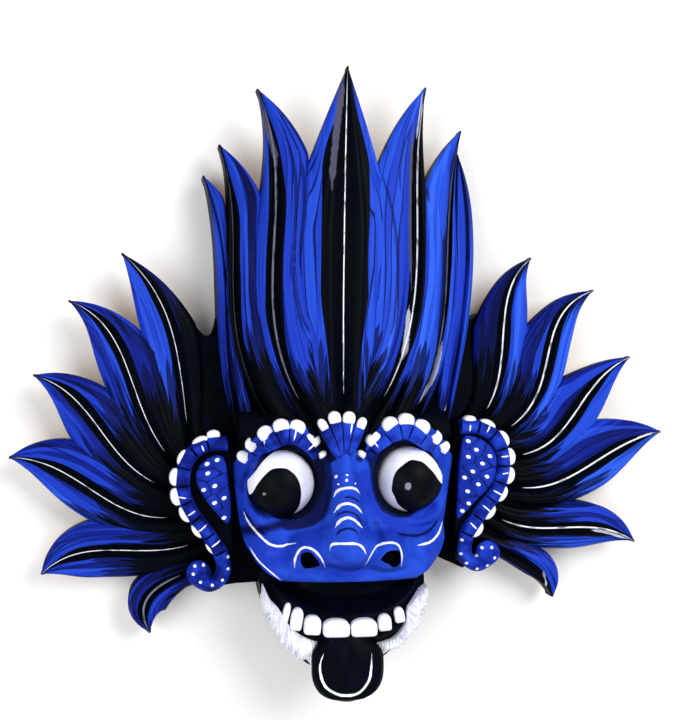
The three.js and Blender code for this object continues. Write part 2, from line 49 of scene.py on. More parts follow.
# The block: height up the face, half width, height of the side edge, height of the middle
faceRows = [
    [-119, 53, 66, 86], [-113, 62, 60, 88], [-105, 70, 54, 88], [-90, 79, 48, 86],
    [-60, 84.5, 45, 84], [-25, 87, 44, 86], [0, 83, 42, 84], [30, 91, 36, 76], [50, 94, 34, 71],
]
jawRows = [
    [-198, 12, 46, 56], [-190, 28.5, 50, 62], [-176, 43.5, 54, 68], [-160, 55, 56, 70],
    [-140, 64, 56, 68], [-122, 66, 54, 66], [-98, 64, 50, 60],
]
crownRows = [
    [-12, 84, 42, 84], [0, 84, 42, 83], [36, 93, 39, 80], [70, 99, 38, 78],
    [100, 101, 37, 76], [150, 105, 34, 73], [190, 110, 30, 69], [290, 114, 22, 61],
]

eye = {
    "z": 69, "radius": 26.3, "corners": 64, "rings": 36, "places": {-1: [-50.8, -43.9], 1: [51.1, -41.7]},
}
# The rounded forms of the face: middle and half size across, the same up the face, then height of the top,
# fall from there to the edge, and reach of the blend
mounds = {
    "brow": [48.4, 40, -2, 16, 90, 22, 6], "cheek": [56, 22, -96, 19, 87, 18, 6],
    "upperLip": [0, 62, -111, 13, 99, 18, 5], "ball": [0, 19, -92, 13, 123, 16, 5],
    "nostrilWing": [29, 15, -97, 14, 108, 15, 5],
}
nose = {
    "x": -2.5, "topY": -22, "tipY": -95, "topZ": 95, "tipZ": 122, "topHalf": 8.5, "tipHalf": 13, "fall": 12,
    "rise": 1.2, "fallAbove": 0.07, "fallBelow": 0.14, "blend": 6,
}
# across the ridge of the nose: they set in between the upper two heights, and end between the lower two
wrinkles = {
    "height": 1.9, "pitch": 11.2, "crest": -47, "bow": 0.045, "upper": (-30, -40), "lower": (-82, -74),
}
# the bag under each eye fades above it and towards the temple
bag = {
    "radius": 34, "halfWidth": 8, "top": 78, "fall": 16, "fade": (-8, 12), "fadeDepth": 30,
    "outerX": 70, "outerFall": 0.1, "blend": 4,
}
eyeSocket = {"floor": 62, "depth": 30, "wall": (22, 33), "blend": 5}
# The scallops along each brow, from the temple to the nose, and half widths of the padded band inside them
brow = {
    -1: {
        "scallops": [[-80.4, -23.4], [-73.9, -12.6], [-65, -3.3], [-52.7, 2.6], [-39.2, 1.6], [-26.4, -8.6],
                     [-19.3, -20.7]],
        "halfWidths": [4, 5.6, 6.4, 6.4, 6, 4.6, 3],
    },
    1: {
        "scallops": [[81.2, -16.9], [70.2, -7.4], [58.3, 1.2], [45.4, 6.4], [31.9, 3.4], [18.9, -8.6],
                     [10.2, -20.6]],
        "halfWidths": [4.5, 5.6, 6.2, 6.4, 6.4, 4.6, 3],
    },
    "scallopLength": 8.6, "scallopWidth": 12.2, "scallopHeight": 5.4, "padHeight": 4.6, "endDrop": 3,
    "foot": 40,
}
pad = {"cutDepth": 1.7, "cutWidth": 0.8, "swell": 0.8, "edge": 4}
# Teeth from left to right: left and right side, lower and upper end
teeth = [[-49.4, -44, -154.5, -137.6], [-43.2, -34, -158.8, -141.2], [-33.2, -20.2, -161.8, -146.8],
         [-18.7, 1.9, -163.4, -149.4], [2.9, 23.6, -163.6, -149.6], [25, 35.4, -160.2, -147.2],
         [38.6, 46.6, -155, -142.8]]
mouth = {
    "floor": 56, "gum": 20, "gumRise": (21, 5), "arch": 0.004, "corner": (0.8, 0.94), "edge": 3,
    "lipHalfWidth": 3.2, "lipEnds": (0.74, 0.84), "upperY": -115.5, "upperHalfWidth": 2.2,
    "upperEnds": (48, 58), "teethTop": 86.5, "teethArch": 0.006, "teethFoot": 50,
}
smile = {"middleX": 1.6, "middleY": -154.9, "curve": 1.25e-4}

# The kinds of surface, which the paint layers carry so that each face finds its paint
blackPaint, flamePaint, facePaint, whitePaint, eyePaint, padPaint, lobePaint, bareWood = range(8)


def lerp(a, b, t):
    return a + (b - a) * t


def smoothStep(low, high, v):
    t = np.clip((v - low) / (high - low), 0, 1)
    return t * t * (3 - 2 * t)


def smoothMax(a, b, reach):
    h = np.clip(0.5 + (a - b) / (2 * reach), 0, 1)
    return lerp(b, a, h) + reach * h * (1 - h)


def smoothMin(a, b, reach):
    return -smoothMax(-a, -b, reach)


def bell(v, halfWidth):
    # 1 where v is 0, and fading on both sides
    return np.exp(-(v / halfWidth) ** 2)


def splineAt(points, t):
    # a smooth curve through the points, read at parameters from 0 to 1
    points = np.asarray(points, float)
    last = len(points) - 1
    at = np.clip(t, 0, 1) * last
    i = np.minimum(last - 1, np.floor(at).astype(int))
    f = np.asarray(at - i)[..., None]
    a, b, c, d = (points[np.clip(i + k, 0, last)] for k in (-1, 0, 1, 2))
    squares, cubes = (2 * a - 5 * b + 4 * c - d) * f ** 2, (3 * b - a - 3 * c + d) * f ** 3
    return 0.5 * (2 * b + (c - a) * f + squares + cubes)


def rowAt(rows, y):
    # one row of a table at height y, as arrays of its columns
    rows = np.asarray(rows, float)
    last = len(rows) - 1
    i = np.clip(np.searchsorted(rows[:, 0], y, side="right") - 1, 0, last - 1)
    share = np.clip((y - rows[i, 0]) / (rows[i + 1, 0] - rows[i, 0]), 0, 1)
    found = splineAt(rows, (i + share) / last)
    return [found[..., k] for k in range(1, rows.shape[1])]


def polar(degrees):
    return np.array([math.cos(math.radians(degrees)), math.sin(math.radians(degrees))])


# Meshes

def readAll(items, key, *columns, kind=float):
    # one property of all items, as an array
    values = np.zeros((len(items), *columns), kind)
    items.foreach_get(key, values.ravel())
    return values


def setLayer(mesh, name, values):
    layer = mesh.uv_layers.get(name) or mesh.uv_layers.new(name=name)
    layer.data.foreach_set("uv", np.asarray(values, np.float32).ravel())


def getLayer(mesh, name):
    return readAll(mesh.uv_layers[name].data, "uv", 2, kind=np.float32)


def setAttribute(mesh, name, kind, key, values, domain="POINT"):
    layer = mesh.attributes.new(name, kind, domain)
    layer.data.foreach_set(key, np.asarray(values, np.float32).ravel())


def makeMesh(name, points, faces, kind, layers=None):
    # a mesh with the paint layers that the joins keep: its kind of surface, and what a caller adds
    mesh = bpy.data.meshes.new(name)
    mesh.from_pydata([tuple(p) for p in points], [], faces)
    kinds = np.repeat(np.broadcast_to(kind, len(faces)), [len(face) for face in faces])
    setLayer(mesh, "kind", np.stack([kinds, np.full(len(kinds), 0.5)], -1))
    for layer, values in (layers or {}).items():
        setLayer(mesh, layer, np.asarray(values, float)[readAll(mesh.loops, "vertex_index", kind=int)])
    return mesh


def ringFaces(a, b, count):
    # between two rings of points, which start at a and b
    return [(a + i, a + (i + 1) % count, b + (i + 1) % count, b + i) for i in range(count)]


def crowded(low, high, count):
    # shares that lie closer together towards -1 and 1, where a rounded form is steep
    return np.sin(np.linspace(low, high, count) * np.pi / 2)


def gridSolid(name, across, along, place, front, back, kind, layers=None):
    # a closed solid between a front grid and a plain back: columns run across (u), rows along (v)
    # place turns (u, v) into (x, y), front and back give heights from (u, v, x, y), layers paint from (u, v)
    u, v = np.meshgrid(across, along)
    rows, columns = u.shape
    ends = [0, columns - 1]
    stacked = lambda values: np.stack(np.broadcast_arrays(*values), -1).reshape(-1, len(values))

    def pointsOn(height, u, v):
        x, y = place(u, v)
        return stacked([x, y, height(u, v, x, y)])

    points = np.vstack([pointsOn(front, u, v), pointsOn(back, u[:, ends], v[:, ends])])
    base = rows * columns
    faces = []
    for j in range(rows - 1):
        k = j * columns
        faces += [(k + i, k + i + 1, k + i + 1 + columns, k + i + columns) for i in range(columns - 1)]
        left, right = base + 2 * j, base + 2 * j + 1
        faces += [(k, k + columns, left + 2, left), (k + 2 * columns - 1, k + columns - 1, right, right + 2)]
        faces.append((left, left + 2, right + 2, right))
    top = (rows - 1) * columns
    faces.append((base, base + 1, *range(columns - 1, -1, -1)))
    faces.append((base + 2 * rows - 1, base + 2 * rows - 2, *range(top, top + columns)))
    if layers:
        onBack = np.zeros((2 * rows, 2))
        layers = {key: np.vstack([stacked(layer(u, v)), onBack]) for key, layer in layers.items()}
    return makeMesh(name, points, faces, kind, layers)


def flat(z):
    # the same height or width everywhere
    return lambda *place: z + 0 * place[-1]


def placeAlong(path, left, right):
    # turns (u, v) into a point beside a path: u from -1 to 1 across it, v along it
    def place(u, v):
        ahead, behind, at = path(v + 1e-3), path(v - 1e-3), path(v)
        run = ahead - behind
        run /= np.linalg.norm(run, axis=-1, keepdims=True)
        reach = u * np.where(u < 0, left(v), right(v))
        return at[..., 0] + run[..., 1] * reach, at[..., 1] - run[..., 0] * reach
    return place


def ribbonSolid(name, path, left, right, front, back, across, along, kind):
    # a solid along a path, its front and back worked out from where on it (u, v) and in the frame (x, y)
    return gridSolid(name, across, along, placeAlong(path, left, right), front, back, kind)


def domeSolid(name, outline, low, high, rings, kind, detail=None, foot=blackPaint):
    # a closed plan outline raised to a rounded top: rings hold (share of the outline, share of the height)
    outline = np.asarray(outline, float)
    middle = outline.mean(0)
    n = len(outline)
    stack = [(1, low)] + [(share, lerp(low, high, height)) for share, height in rings]
    points = [np.column_stack([lerp(middle, outline, share), np.full(n, z)]) for share, z in stack]
    points = np.vstack(points + [[*middle, stack[-1][1]]])
    if detail:
        points[n:, 2] += detail(points[n:, 0], points[n:, 1])
    faces = [tuple(range(n - 1, -1, -1))]
    for r in range(len(stack) - 1):
        faces += ringFaces(r * n, (r + 1) * n, n)
    last = (len(stack) - 1) * n
    faces += [(last + i, last + (i + 1) % n, len(points) - 1) for i in range(n)]
    return makeMesh(name, points, faces, [foot] * (1 + n) + [kind] * (len(faces) - 1 - n))


def stackSolid(name, outlines, heights, kind):
    # closed outlines one over the other, with flat ends
    n, top = len(outlines[0]), (len(outlines) - 1) * len(outlines[0])
    points = np.vstack([np.column_stack([outline, np.full(n, z)]) for outline, z in zip(outlines, heights)])
    faces = [tuple(range(n - 1, -1, -1)), tuple(range(top, top + n))]
    for start in range(0, top, n):
        faces += ringFaces(start, start + n, n)
    return makeMesh(name, points, faces, kind)


def counterClockwise(outline):
    x, y = outline[:, 0], outline[:, 1]
    return outline if np.dot(x, np.roll(y, -1)) > np.dot(y, np.roll(x, -1)) else outline[::-1]


def prism(name, outline, low, high, kind):
    return stackSolid(name, 2 * [counterClockwise(np.asarray(outline, float))], (low, high), kind)


def domeRings(count, squareness, shoulder):
    # rings of a dome: an upright wall with a collar below the shoulder, then a rounded top
    shares = [math.cos(math.pi / 2 * k / count) for k in range(count)]
    rounded = [(1 - share ** squareness) ** (1 / squareness) for share in shares]
    collar = [(1, shoulder - 0.12)]
    return collar + [(share, shoulder + (1 - shoulder) * height) for share, height in zip(shares, rounded)]


def petalOutline(count, farEnd, nearEnd):
    # round at the far end, squarer at the near one: 2 is a circle's roundness
    turns = 2 * np.pi * (np.arange(count) + 0.5) / count
    power = 2 / np.where(np.cos(turns) > 0, farEnd, nearEnd)
    bend = lambda v: np.sign(v) * np.abs(v) ** power
    return np.stack([bend(np.cos(turns)), bend(np.sin(turns))], -1)


def shownObject(name, mesh):
    made = bpy.data.objects.new(name, mesh)
    bpy.context.scene.collection.objects.link(made)
    return made


def evaluatedMesh(made):
    depsgraph = bpy.context.evaluated_depsgraph_get()
    return bpy.data.meshes.new_from_object(made.evaluated_get(depsgraph))


def joinSolids(name, solids, cutters):
    # one closed mesh from overlapping closed solids, less the cutters
    start = shownObject(name, solids[0])
    helpers = []
    for operation, mesh in [("UNION", m) for m in solids[1:]] + [("DIFFERENCE", m) for m in cutters]:
        helper = shownObject("helper", mesh)
        helpers.append(helper)
        modifier = start.modifiers.new("join", "BOOLEAN")
        modifier.operation = operation
        modifier.solver = "MANIFOLD"
        modifier.object = helper
    joined = evaluatedMesh(start)
    for helper in helpers + [start]:
        bpy.data.objects.remove(helper)
    joined.name = name
    return keepLargest(joined)


def keepLargest(mesh):
    # drops the slivers that a cut leaves loose
    edges = readAll(mesh.edges, "vertices", 2, kind=int)
    label = np.arange(len(mesh.vertices))
    while True:
        lowest = np.minimum(label[edges[:, 0]], label[edges[:, 1]])
        before = label.copy()
        np.minimum.at(label, edges[:, 0], lowest)
        np.minimum.at(label, edges[:, 1], lowest)
        label = label[label]
        if (label == before).all():
            break
    largest = np.bincount(label).argmax()
    if (label != largest).any():
        form = bmesh.new()
        form.from_mesh(mesh)
        form.verts.ensure_lookup_table()
        loose = [form.verts[k] for k in np.flatnonzero(label != largest)]
        bmesh.ops.delete(form, geom=loose, context="VERTS")
        form.to_mesh(mesh)
        form.free()
    return mesh


# Node trees

signs = {"+": "Math:ADD", "-": "Math:SUBTRACT", "*": "Math:MULTIPLY", "/": "Math:DIVIDE"}


def addNode(tree, kind, *inputs, **settings):
    # one node, as "kind", "kind:operation" or a sign; its inputs in order, as values or what they link to
    kind, _, choice = signs.get(kind, kind).partition(":")
    node = tree.nodes.new(kind if "Node" in kind else "ShaderNode" + kind)
    if choice:
        setattr(node, "operation" if hasattr(node, "operation") else "data_type", choice)
    named, stops = settings.pop("named", {}), settings.pop("stops", [])
    for setting, value in settings.items():
        setattr(node, setting, value)
    for k, (place, paint) in enumerate(stops):
        stop = node.color_ramp.elements[k] if k < 2 else node.color_ramp.elements.new(place)
        stop.position, stop.color = place, colour[paint]
    shown = [socket for socket in node.inputs if socket.enabled]
    byName = [(node.inputs[key], value) for key, value in named.items()]
    for socket, value in [*zip(shown, inputs), *byName]:
        if value is None:
            continue
        if isinstance(value, bpy.types.Node):
            tree.links.new(next(out for out in value.outputs if out.enabled), socket)
        elif isinstance(value, bpy.types.NodeSocket):
            tree.links.new(value, socket)
        else:
            socket.default_value = value
    return node


def startTree(name, inputs):
    # a geometry tree with named inputs, by their kind of socket
    tree = bpy.data.node_groups.new(name, "GeometryNodeTree")
    for kind, titles in inputs.items():
        for title in titles:
            tree.interface.new_socket(name=title, in_out="INPUT", socket_type="NodeSocket" + kind)
    tree.interface.new_socket(name="Geometry", in_out="OUTPUT", socket_type="NodeSocketGeometry")
    add = partial(addNode, tree)
    return tree, add, add("NodeGroupInput").outputs


def runTree(tree, mesh, values):
    # runs a tree on a mesh with these inputs, and gives the plain mesh that comes out
    made = shownObject(tree.name, mesh)
    modifier = made.modifiers.new("tree", "NODES")
    modifier.node_group = tree
    for socket in tree.interface.items_tree:
        if socket.in_out == "INPUT" and socket.name in values:
            modifier[socket.identifier] = values[socket.name]
    result = evaluatedMesh(made)
    bpy.data.objects.remove(made)
    result.name = tree.name
    return result


def lengthOf(curve):
    return np.hypot(*np.diff(curve, axis=0).T).sum()


# Flames: one tree makes every flame from the two ends of its white line

flame = {
    "buried": 26,         # of the root, inside the wood it grows from
    "peak": 0.5,          # where along the line it is widest
    "rootShare": 0.62,
    "tipHalfWidth": 0.9,
    "groove": 0.3,        # share of a side that slopes down to the line
    "grooveFloor": 0.12,
    "flutes": 4,          # carved beside the groove, on each side
    "fluteDepth": 0.9,
    "roundness": 2.4,     # of the two lobes
    "tipRelief": 0.4,     # share of the relief that is left at the tip
}


def makeFlameTree():
    tree, add, given = startTree("flame", {
        "Geometry": ["Geometry"], "Object": ["Ground"],
        "Float": ["Length", "Relief"], "Int": ["Columns", "Rows"],
        "Vector": [
            "Start", "Start handle", "Tip handle", "Tip",
            "Left shape", "Right shape", "Left paint", "Right paint", "Bodies",
        ],
    })
    block = add("GeometryNodeMeshCube", (2, 1, 1), given["Columns"], given["Rows"], 2)
    u, t, level = add("SeparateXYZ", add("GeometryNodeInputPosition")).outputs
    buried = add("/", flame["buried"], given["Length"])
    half = add("+", t, 0.5)
    v = add("-", add("*", half, add("+", buried, 1)), buried)
    along = add("Math:MAXIMUM", v, 0)

    # the line's curve, found by blending its four points in turn, and straight on below its start
    handles = [given[title] for title in ("Start", "Start handle", "Tip handle", "Tip")]
    while len(handles) > 1:
        ends = handles
        handles = [add("Mix:VECTOR", along, a, b, clamp_factor=False) for a, b in zip(ends, ends[1:])]
    heading = add("VectorMath:NORMALIZE", add("VectorMath:SUBTRACT", ends[1], ends[0]))
    rootward = add("*", add("Math:MINIMUM", v, 0), given["Length"])
    straight = add("VectorMath:SCALE", heading, named={"Scale": rootward})
    line = add("VectorMath:ADD", handles[0], straight)

    # how wide the side is here: shape holds its greatest width and its taper, paint its tone, band and root
    isLeft = add("Math:LESS_THAN", u, 0)
    shape = add("Mix:VECTOR", isLeft, given["Right shape"], given["Left shape"])
    paint = add("Mix:VECTOR", isLeft, given["Right paint"], given["Left paint"])
    width, taper, bandWidth = add("SeparateXYZ", shape).outputs
    tone, root, lineWidth = add("SeparateXYZ", paint).outputs
    rise = add("Math:SINE", add("MapRange", v, 0, flame["peak"], 0, math.pi / 2))
    swell = add("MapRange", rise, 0, 1, flame["rootShare"], 1)
    toTip = add("Math:POWER", add("MapRange", v, flame["peak"], 1, 0, 1), taper)
    share = add("*", swell, add("-", 1, toTip))
    spread = add("*", width, share)
    leftBody, rightBody, _ = add("SeparateXYZ", given["Bodies"]).outputs
    body = add("Mix:FLOAT", isLeft, rightBody, leftBody)
    for start, end, extra in ((0.68, 1, 9), (0.45, 0, 12)):     # the limit opens towards both ends
        body = add("+", body, add("MapRange", v, start, end, 0, extra))
    spread = add("Math:MAXIMUM", add("Math:SMOOTH_MIN", spread, body, 3), flame["tipHalfWidth"])
    across = add("*", u, spread)
    sideways = add("VectorMath:CROSS_PRODUCT", heading, (0, 0, 1))
    plan = add("VectorMath:ADD", line, add("VectorMath:SCALE", sideways, named={"Scale": across}))

    # the wood that the flame stands on, found below the point
    above = add("VectorMath:ADD", plan, (0, 0, 900))
    ground = add("GeometryNodeObjectInfo", given["Ground"], transform_space="ORIGINAL")
    under = add("GeometryNodeInputNamedAttribute", "under", data_type="FLOAT")
    met = add("GeometryNodeRaycast", data_type="FLOAT", named={
        "Target Geometry": ground.outputs["Geometry"], "Attribute": under.outputs["Attribute"],
        "Source Position": above, "Ray Direction": (0, 0, -1), "Ray Length": 2000,
    })
    groundZ = add("SeparateXYZ", met.outputs["Hit Position"]).outputs["Z"]

    # the relief: a groove down the line between two rounded lobes with flutes
    fromLine = add("Math:ABSOLUTE", u)
    slope = add("MapRange", fromLine, 0, flame["groove"], flame["grooveFloor"], 1)
    overLobe = add("MapRange", fromLine, flame["groove"], 1, 0, 1)
    rounded = add("Math:SQRT", add("-", 1, add("Math:POWER", overLobe, flame["roundness"])))
    relief = add("*", add("*", slope, rounded), given["Relief"])
    sink = add("MapRange", v, flame["peak"], 1, 1, flame["tipRelief"], interpolation_type="SMOOTHSTEP")
    relief = add("*", relief, sink)
    wave = add("Math:COSINE", add("*", overLobe, 2 * math.pi * flame["flutes"]))
    deep = add("*", share, flame["fluteDepth"] / 2)
    flute = add("*", add("-", wave, 1), deep)
    top = add("+", add("+", groundZ, relief), flute)
    z = add("Mix:FLOAT", add("Math:GREATER_THAN", level, 0), met.outputs["Attribute"], top)
    px, py, _ = add("SeparateXYZ", plan).outputs
    shaped = add("CombineXYZ", px, py, z)

    # paint coordinates: across the line and up from the black root, the black band, the white line, tone
    tipShare = add("MapRange", v, 0.68, 1, 1, 0.12, interpolation_type="SMOOTHSTEP")
    rootShare = add("MapRange", v, 0, 0.3, 0.5, 1)
    band = add("*", add("*", bandWidth, tipShare), rootShare)
    upward = add("-", add("*", v, given["Length"]), root)
    strand = add("CombineXYZ", across, upward, 0)
    bands = add("CombineXYZ", band, lineWidth, 0)
    kinds = add("CombineXYZ", flamePaint, tone, 0)
    ends = add("CombineXYZ", overLobe, v, 0)
    stored = {"data_type": "FLOAT2", "domain": "CORNER"}
    for layer, value in (("strand", strand), ("bands", bands), ("kind", kinds), ("lobe", ends)):
        block = add("GeometryNodeStoreNamedAttribute", block, None, layer, value, **stored)
    moved = add("GeometryNodeSetPosition", block, None, shaped)
    real = add("GeometryNodeRealizeInstances", moved)
    add("NodeGroupOutput", add("GeometryNodeSetMaterial", real))
    return tree


def groundForm(name, front, under, low, high, step=4):
    # the smooth wood under the flames: its front, with the height of the back as an attribute
    xs, ys = np.arange(low[0], high[0] + step, step), np.arange(low[1], high[1] + step, step)
    x, y = np.meshgrid(xs, ys)
    columns = len(xs)
    faces = [
        (k, k + 1, k + 1 + columns, k + columns)
        for j in range(len(ys) - 1) for k in range(j * columns, j * columns + columns - 1)
    ]
    mesh = bpy.data.meshes.new(name)
    mesh.from_pydata(np.stack([x, y, front(x, y)], -1).reshape(-1, 3).tolist(), [], faces)
    setAttribute(mesh, "under", "FLOAT", "value", np.broadcast_to(under(x, y), x.shape))
    return shownObject(name, mesh)


def makeFlame(ground, relief, spacing, root, tip, left, right, line, bodies=(99, 99), bend=0.38):
    # root to bend as in a row of the tables of flames; spacing of its columns and rows
    start, end = np.array(root[:2], float), np.array(tip[:2], float)
    length = float(np.hypot(*(end - start)))
    number = int(abs(start[0]) + 3 * abs(start[1])) % 97      # which the brush strokes are drawn by
    return runTree(flameTree, bpy.data.meshes.new("seed"), {
        "Ground": ground,
        "Start": (*start, 0), "Start handle": (*(start + bend * length * polar(root[2])), 0),
        "Tip handle": (*(end - bend * length * polar(tip[2])), 0), "Tip": (*end, 0),
        "Left shape": left[:3], "Right shape": right[:3],
        "Left paint": (number + left[3], left[4], line), "Right paint": (number + right[3], right[4], line),
        "Bodies": (*bodies, 0), "Length": length, "Relief": relief,
        "Columns": 2 * round((left[0] + right[0]) / 2 / spacing[0]) + 1,
        "Rows": round((length + flame["buried"]) / spacing[1]),
    })


def makePetalTree():
    # one rounded petal on each point: scallops, teeth and the leaves of the tuft
    tree, add, given = startTree("petals", {"Geometry": ["Geometry"], "Object": ["Petal"]})
    petal = add("GeometryNodeObjectInfo", given["Petal"], transform_space="ORIGINAL")
    heading = add("GeometryNodeInputNamedAttribute", "heading", data_type="FLOAT")
    size = add("GeometryNodeInputNamedAttribute", "size", data_type="FLOAT_VECTOR")
    turn = add("CombineXYZ", 0, 0, heading)
    points = add("GeometryNodeMeshToPoints", given["Geometry"])
    placed = add("GeometryNodeInstanceOnPoints", points, named={
        "Instance": petal.outputs["Geometry"],
        "Rotation": add("FunctionNodeEulerToRotation", turn), "Scale": size,
    })
    real = add("GeometryNodeRealizeInstances", placed)
    add("NodeGroupOutput", add("GeometryNodeSetMaterial", real))
    return tree


def makePetals(petals, ends, kind, corners=24, rings=5, shoulder=0.45, foot=blackPaint):
    # petals: (x, y, heading in degrees, half length, half width, low, high)
    outline = petalOutline(corners, *ends)
    dome = domeSolid("petal", outline, 0, 1, domeRings(rings, 2.2, shoulder), kind, foot=foot)
    unit = shownObject("petal", dome)
    table = np.asarray(petals, float)
    seeds = bpy.data.meshes.new("petalPoints")
    seeds.from_pydata(table[:, [0, 1, 5]].tolist(), [], [])
    size = np.column_stack([table[:, 3], table[:, 4], table[:, 6] - table[:, 5]])
    setAttribute(seeds, "heading", "FLOAT", "value", np.radians(table[:, 2]))
    setAttribute(seeds, "size", "FLOAT_VECTOR", "vector", size)
    made = runTree(petalTree, seeds, {"Petal": unit})
    bpy.data.objects.remove(unit)
    return made


# The face: the same mounds as the solids, and the lids, creases and folds that are cut into them

openings = {
    -1: [[-77, -41.6], [-70.7, -32.3], [-65.1, -25.4], [-58.1, -20], [-51, -18.1], [-43, -18.9],
         [-36, -22.8], [-30, -29.4], [-26.1, -35.9], [-24.6, -43], [-25, -50], [-27.6, -57.4],
         [-32.6, -63.6], [-38.8, -68.2], [-46.8, -70.2], [-55, -70.3], [-61, -69], [-66.6, -65.9],
         [-71.6, -61.2], [-75.6, -55.4], [-77.3, -48.5]],
    1: [[76.2, -38.6], [72.2, -30.9], [67.3, -24.6], [60.7, -19.4], [52.8, -16.3], [45.5, -15.8],
        [38.5, -17.6], [32, -22.4], [27.6, -29.5], [25.2, -38], [25.4, -46], [28, -54.5], [33, -61.6],
        [39.6, -66.4], [46.6, -68.2], [54, -67.2], [61.4, -65], [68.2, -60.8], [72.8, -55.4], [75.6, -50],
        [76.8, -44]],
}
pupils = {
    -1: [[-74.6, -51.6], [-70.9, -44.2], [-66.7, -38.1], [-63.2, -34.3], [-59.5, -31.5], [-54.1, -30.6],
         [-48.6, -31.1], [-45, -33.2], [-41.2, -36.9], [-38.4, -42.5], [-37, -49.8], [-37.3, -56.2],
         [-38.5, -62], [-41.9, -68], [-50, -76], [-64, -76], [-76, -70], [-82, -60]],
    1: [[47.9, -25.7], [53.3, -26], [58.2, -27.5], [63, -31.8], [67.3, -36.3], [72.2, -42.6], [80, -50],
        [82, -60], [72, -71], [58, -72.5], [50, -68], [43.6, -63.9], [38.9, -59.6], [36.3, -54.2],
        [33.9, -49.3], [34.1, -43.5], [34.8, -39.3], [37.1, -34.1], [40.9, -30.4]],
}
glints = {-1: [-65.3, -50.7, 1.5, 1.5], 1: [45.6, -45.6, 2.6, 3.2]}     # middle and half sizes

face = {
    "step": 1.35,          # of the grid that the carving is worked out on
    "lidHeight": 2.1,
    "lidWidth": 6,
    "lipRoll": 2.4,
    "stepBack": 6,         # of the black wood over the brows
    "stepEdge": (-1, 6),   # how far above the brow line it begins and ends
    "stepLow": (-26, -14),     # and between which heights it sets in
    "arch": (2.6, 0.75),   # powers of how the block rises from its side edges
    "lipBelow": 12.5,      # the lower lip's middle, below the middle of the teeth
}

# Painted lines: white ones are thin brush strokes, dark ones are navy painted shade that lies in the carved
# folds
whiteStrokes = {
    "noseArcs": [[[-12.4, -53], [-9.7, -47.9], [-2.9, -45.4], [4.1, -46.8], [8.6, -51.5]],
                 [[-13, -64.6], [-9, -58.9], [-2.8, -56.9], [4.2, -60], [9.8, -66.3]],
                 [[-13, -75.8], [-9.5, -70], [-4, -67.3], [1.9, -69.5], [8.4, -76]]],
    "noseBracket": [[[-17.8, -91.5], [-15.9, -87.2], [-7.7, -85.9], [1, -86], [6.6, -89], [9.4, -94.5]]],
    "nostrils": [
        [[-42, -108], [-42.2, -100.1], [-39.4, -93], [-35, -90.4], [-28.8, -92.2], [-23.3, -98.5],
         [-19, -107]],
        [[11.4, -107], [14, -96.9], [20.2, -90.5], [29.6, -88], [36.4, -89.8], [39.3, -95.5], [40.9, -108]],
    ],
    "cheeks": [
        [[-79.6, -66.5], [-75.4, -75.7], [-67.8, -84.2], [-60.1, -90], [-51.2, -91.3], [-41.2, -88.2]],
        [[82.5, -77.5], [76.7, -84.3], [66.1, -90.3], [54.6, -92.4]],
    ],
    "jawEdge": [[[-75.6, -93], [-70.4, -101.4], [-63.6, -108.4], [-51.2, -118.6]]],
}
foldShadeStrokes = {
    "nose": [
        [[-6.4, -53], [0.2, -52.8], [8.4, -58]],
        [[-13, -69], [-8.6, -64.4], [-2.5, -63.4], [4.1, -66.4], [8.9, -74.6]],
        [[-12.8, -82], [-9.4, -77.3], [-3, -75.1], [2.2, -77.4], [4, -81]],
    ],
    "folds": [
        [[-80.2, -63], [-73.9, -74.4], [-66.9, -81.2], [-60.5, -84.3]],
        [[36, -81.2], [43.2, -84.5], [55, -85.6], [67.9, -82.1], [80.6, -74]],
    ],
}
strokeHalfWidths = {
    "noseArcs": 0.95, "noseBracket": 0.95, "nostrils": 0.85, "cheeks": 0.95, "jawEdge": 0.6, "nose": 1.1,
    "folds": 1.4,
}
# The strokes that are also carved, each kind with its depth and half width
creases = [
    (foldShadeStrokes["folds"], 1.3, 1.8), (whiteStrokes["nostrils"], 1.04, 1.4),
    (whiteStrokes["noseBracket"], 0.91, 1.4),
]


def curveOf(points, count=26):
    return splineAt(points, np.linspace(0, 1, count))


def alongCurve(curve, x, y):
    # for each point: signed distance to the nearest stretch of a curve, and how far along it that is
    starts, ends = curve[:-1], curve[1:]
    runs = ends - starts
    lengths = np.hypot(runs[:, 0], runs[:, 1])
    p = np.stack([x, y], -1)[..., None, :] - starts
    share = (p * runs).sum(-1) / lengths ** 2
    off = p - runs * np.clip(share, 0, 1)[..., None]
    nearest = np.hypot(off[..., 0], off[..., 1]).argmin(-1)
    pick = lambda values: np.take_along_axis(values, nearest[..., None], -1)[..., 0]
    side = (runs[:, 0] * p[..., 1] - runs[:, 1] * p[..., 0]) / lengths
    before = np.concatenate([[0], np.cumsum(lengths)])
    share = pick(share)
    # past either end the share runs on, so that a stroke can stop there
    limit = np.where(nearest == len(starts) - 1, 9, 1)
    share = np.where(nearest == 0, np.minimum(share, 1), np.clip(share, 0, limit))
    return pick(side), (before[nearest] + share * lengths[nearest]) / before[-1]


def crease(points, x, y, halfWidth):
    across, along = alongCurve(curveOf(points), x, y)
    fade = smoothStep(-0.02, 0.25, along) * (1 - smoothStep(0.75, 1.02, along))
    return bell(across, halfWidth) * fade


def withMound(z, name, x, y):
    # a height with one of the rounded forms blended on
    middleX, halfX, middleY, halfY, top, fall, reach = mounds[name]
    dx, dy = (x - middleX) / halfX, (y - middleY) / halfY
    return smoothMax(z, top - fall * (dx * dx + dy * dy), reach)


# The face is fuller on its right, most beside the eye
fuller = {"by": 2, "atEye": 2.4, "eyeY": -22, "reach": 20, "fade": (14, -8)}


def halfWidthAt(rows, x, y):
    extra = fuller["by"] + fuller["atEye"] * bell(y - fuller["eyeY"], fuller["reach"])
    extra = extra * (x > 0) * (rows is faceRows)
    return rowAt(rows, y)[0] + extra * smoothStep(*fuller["fade"], y)


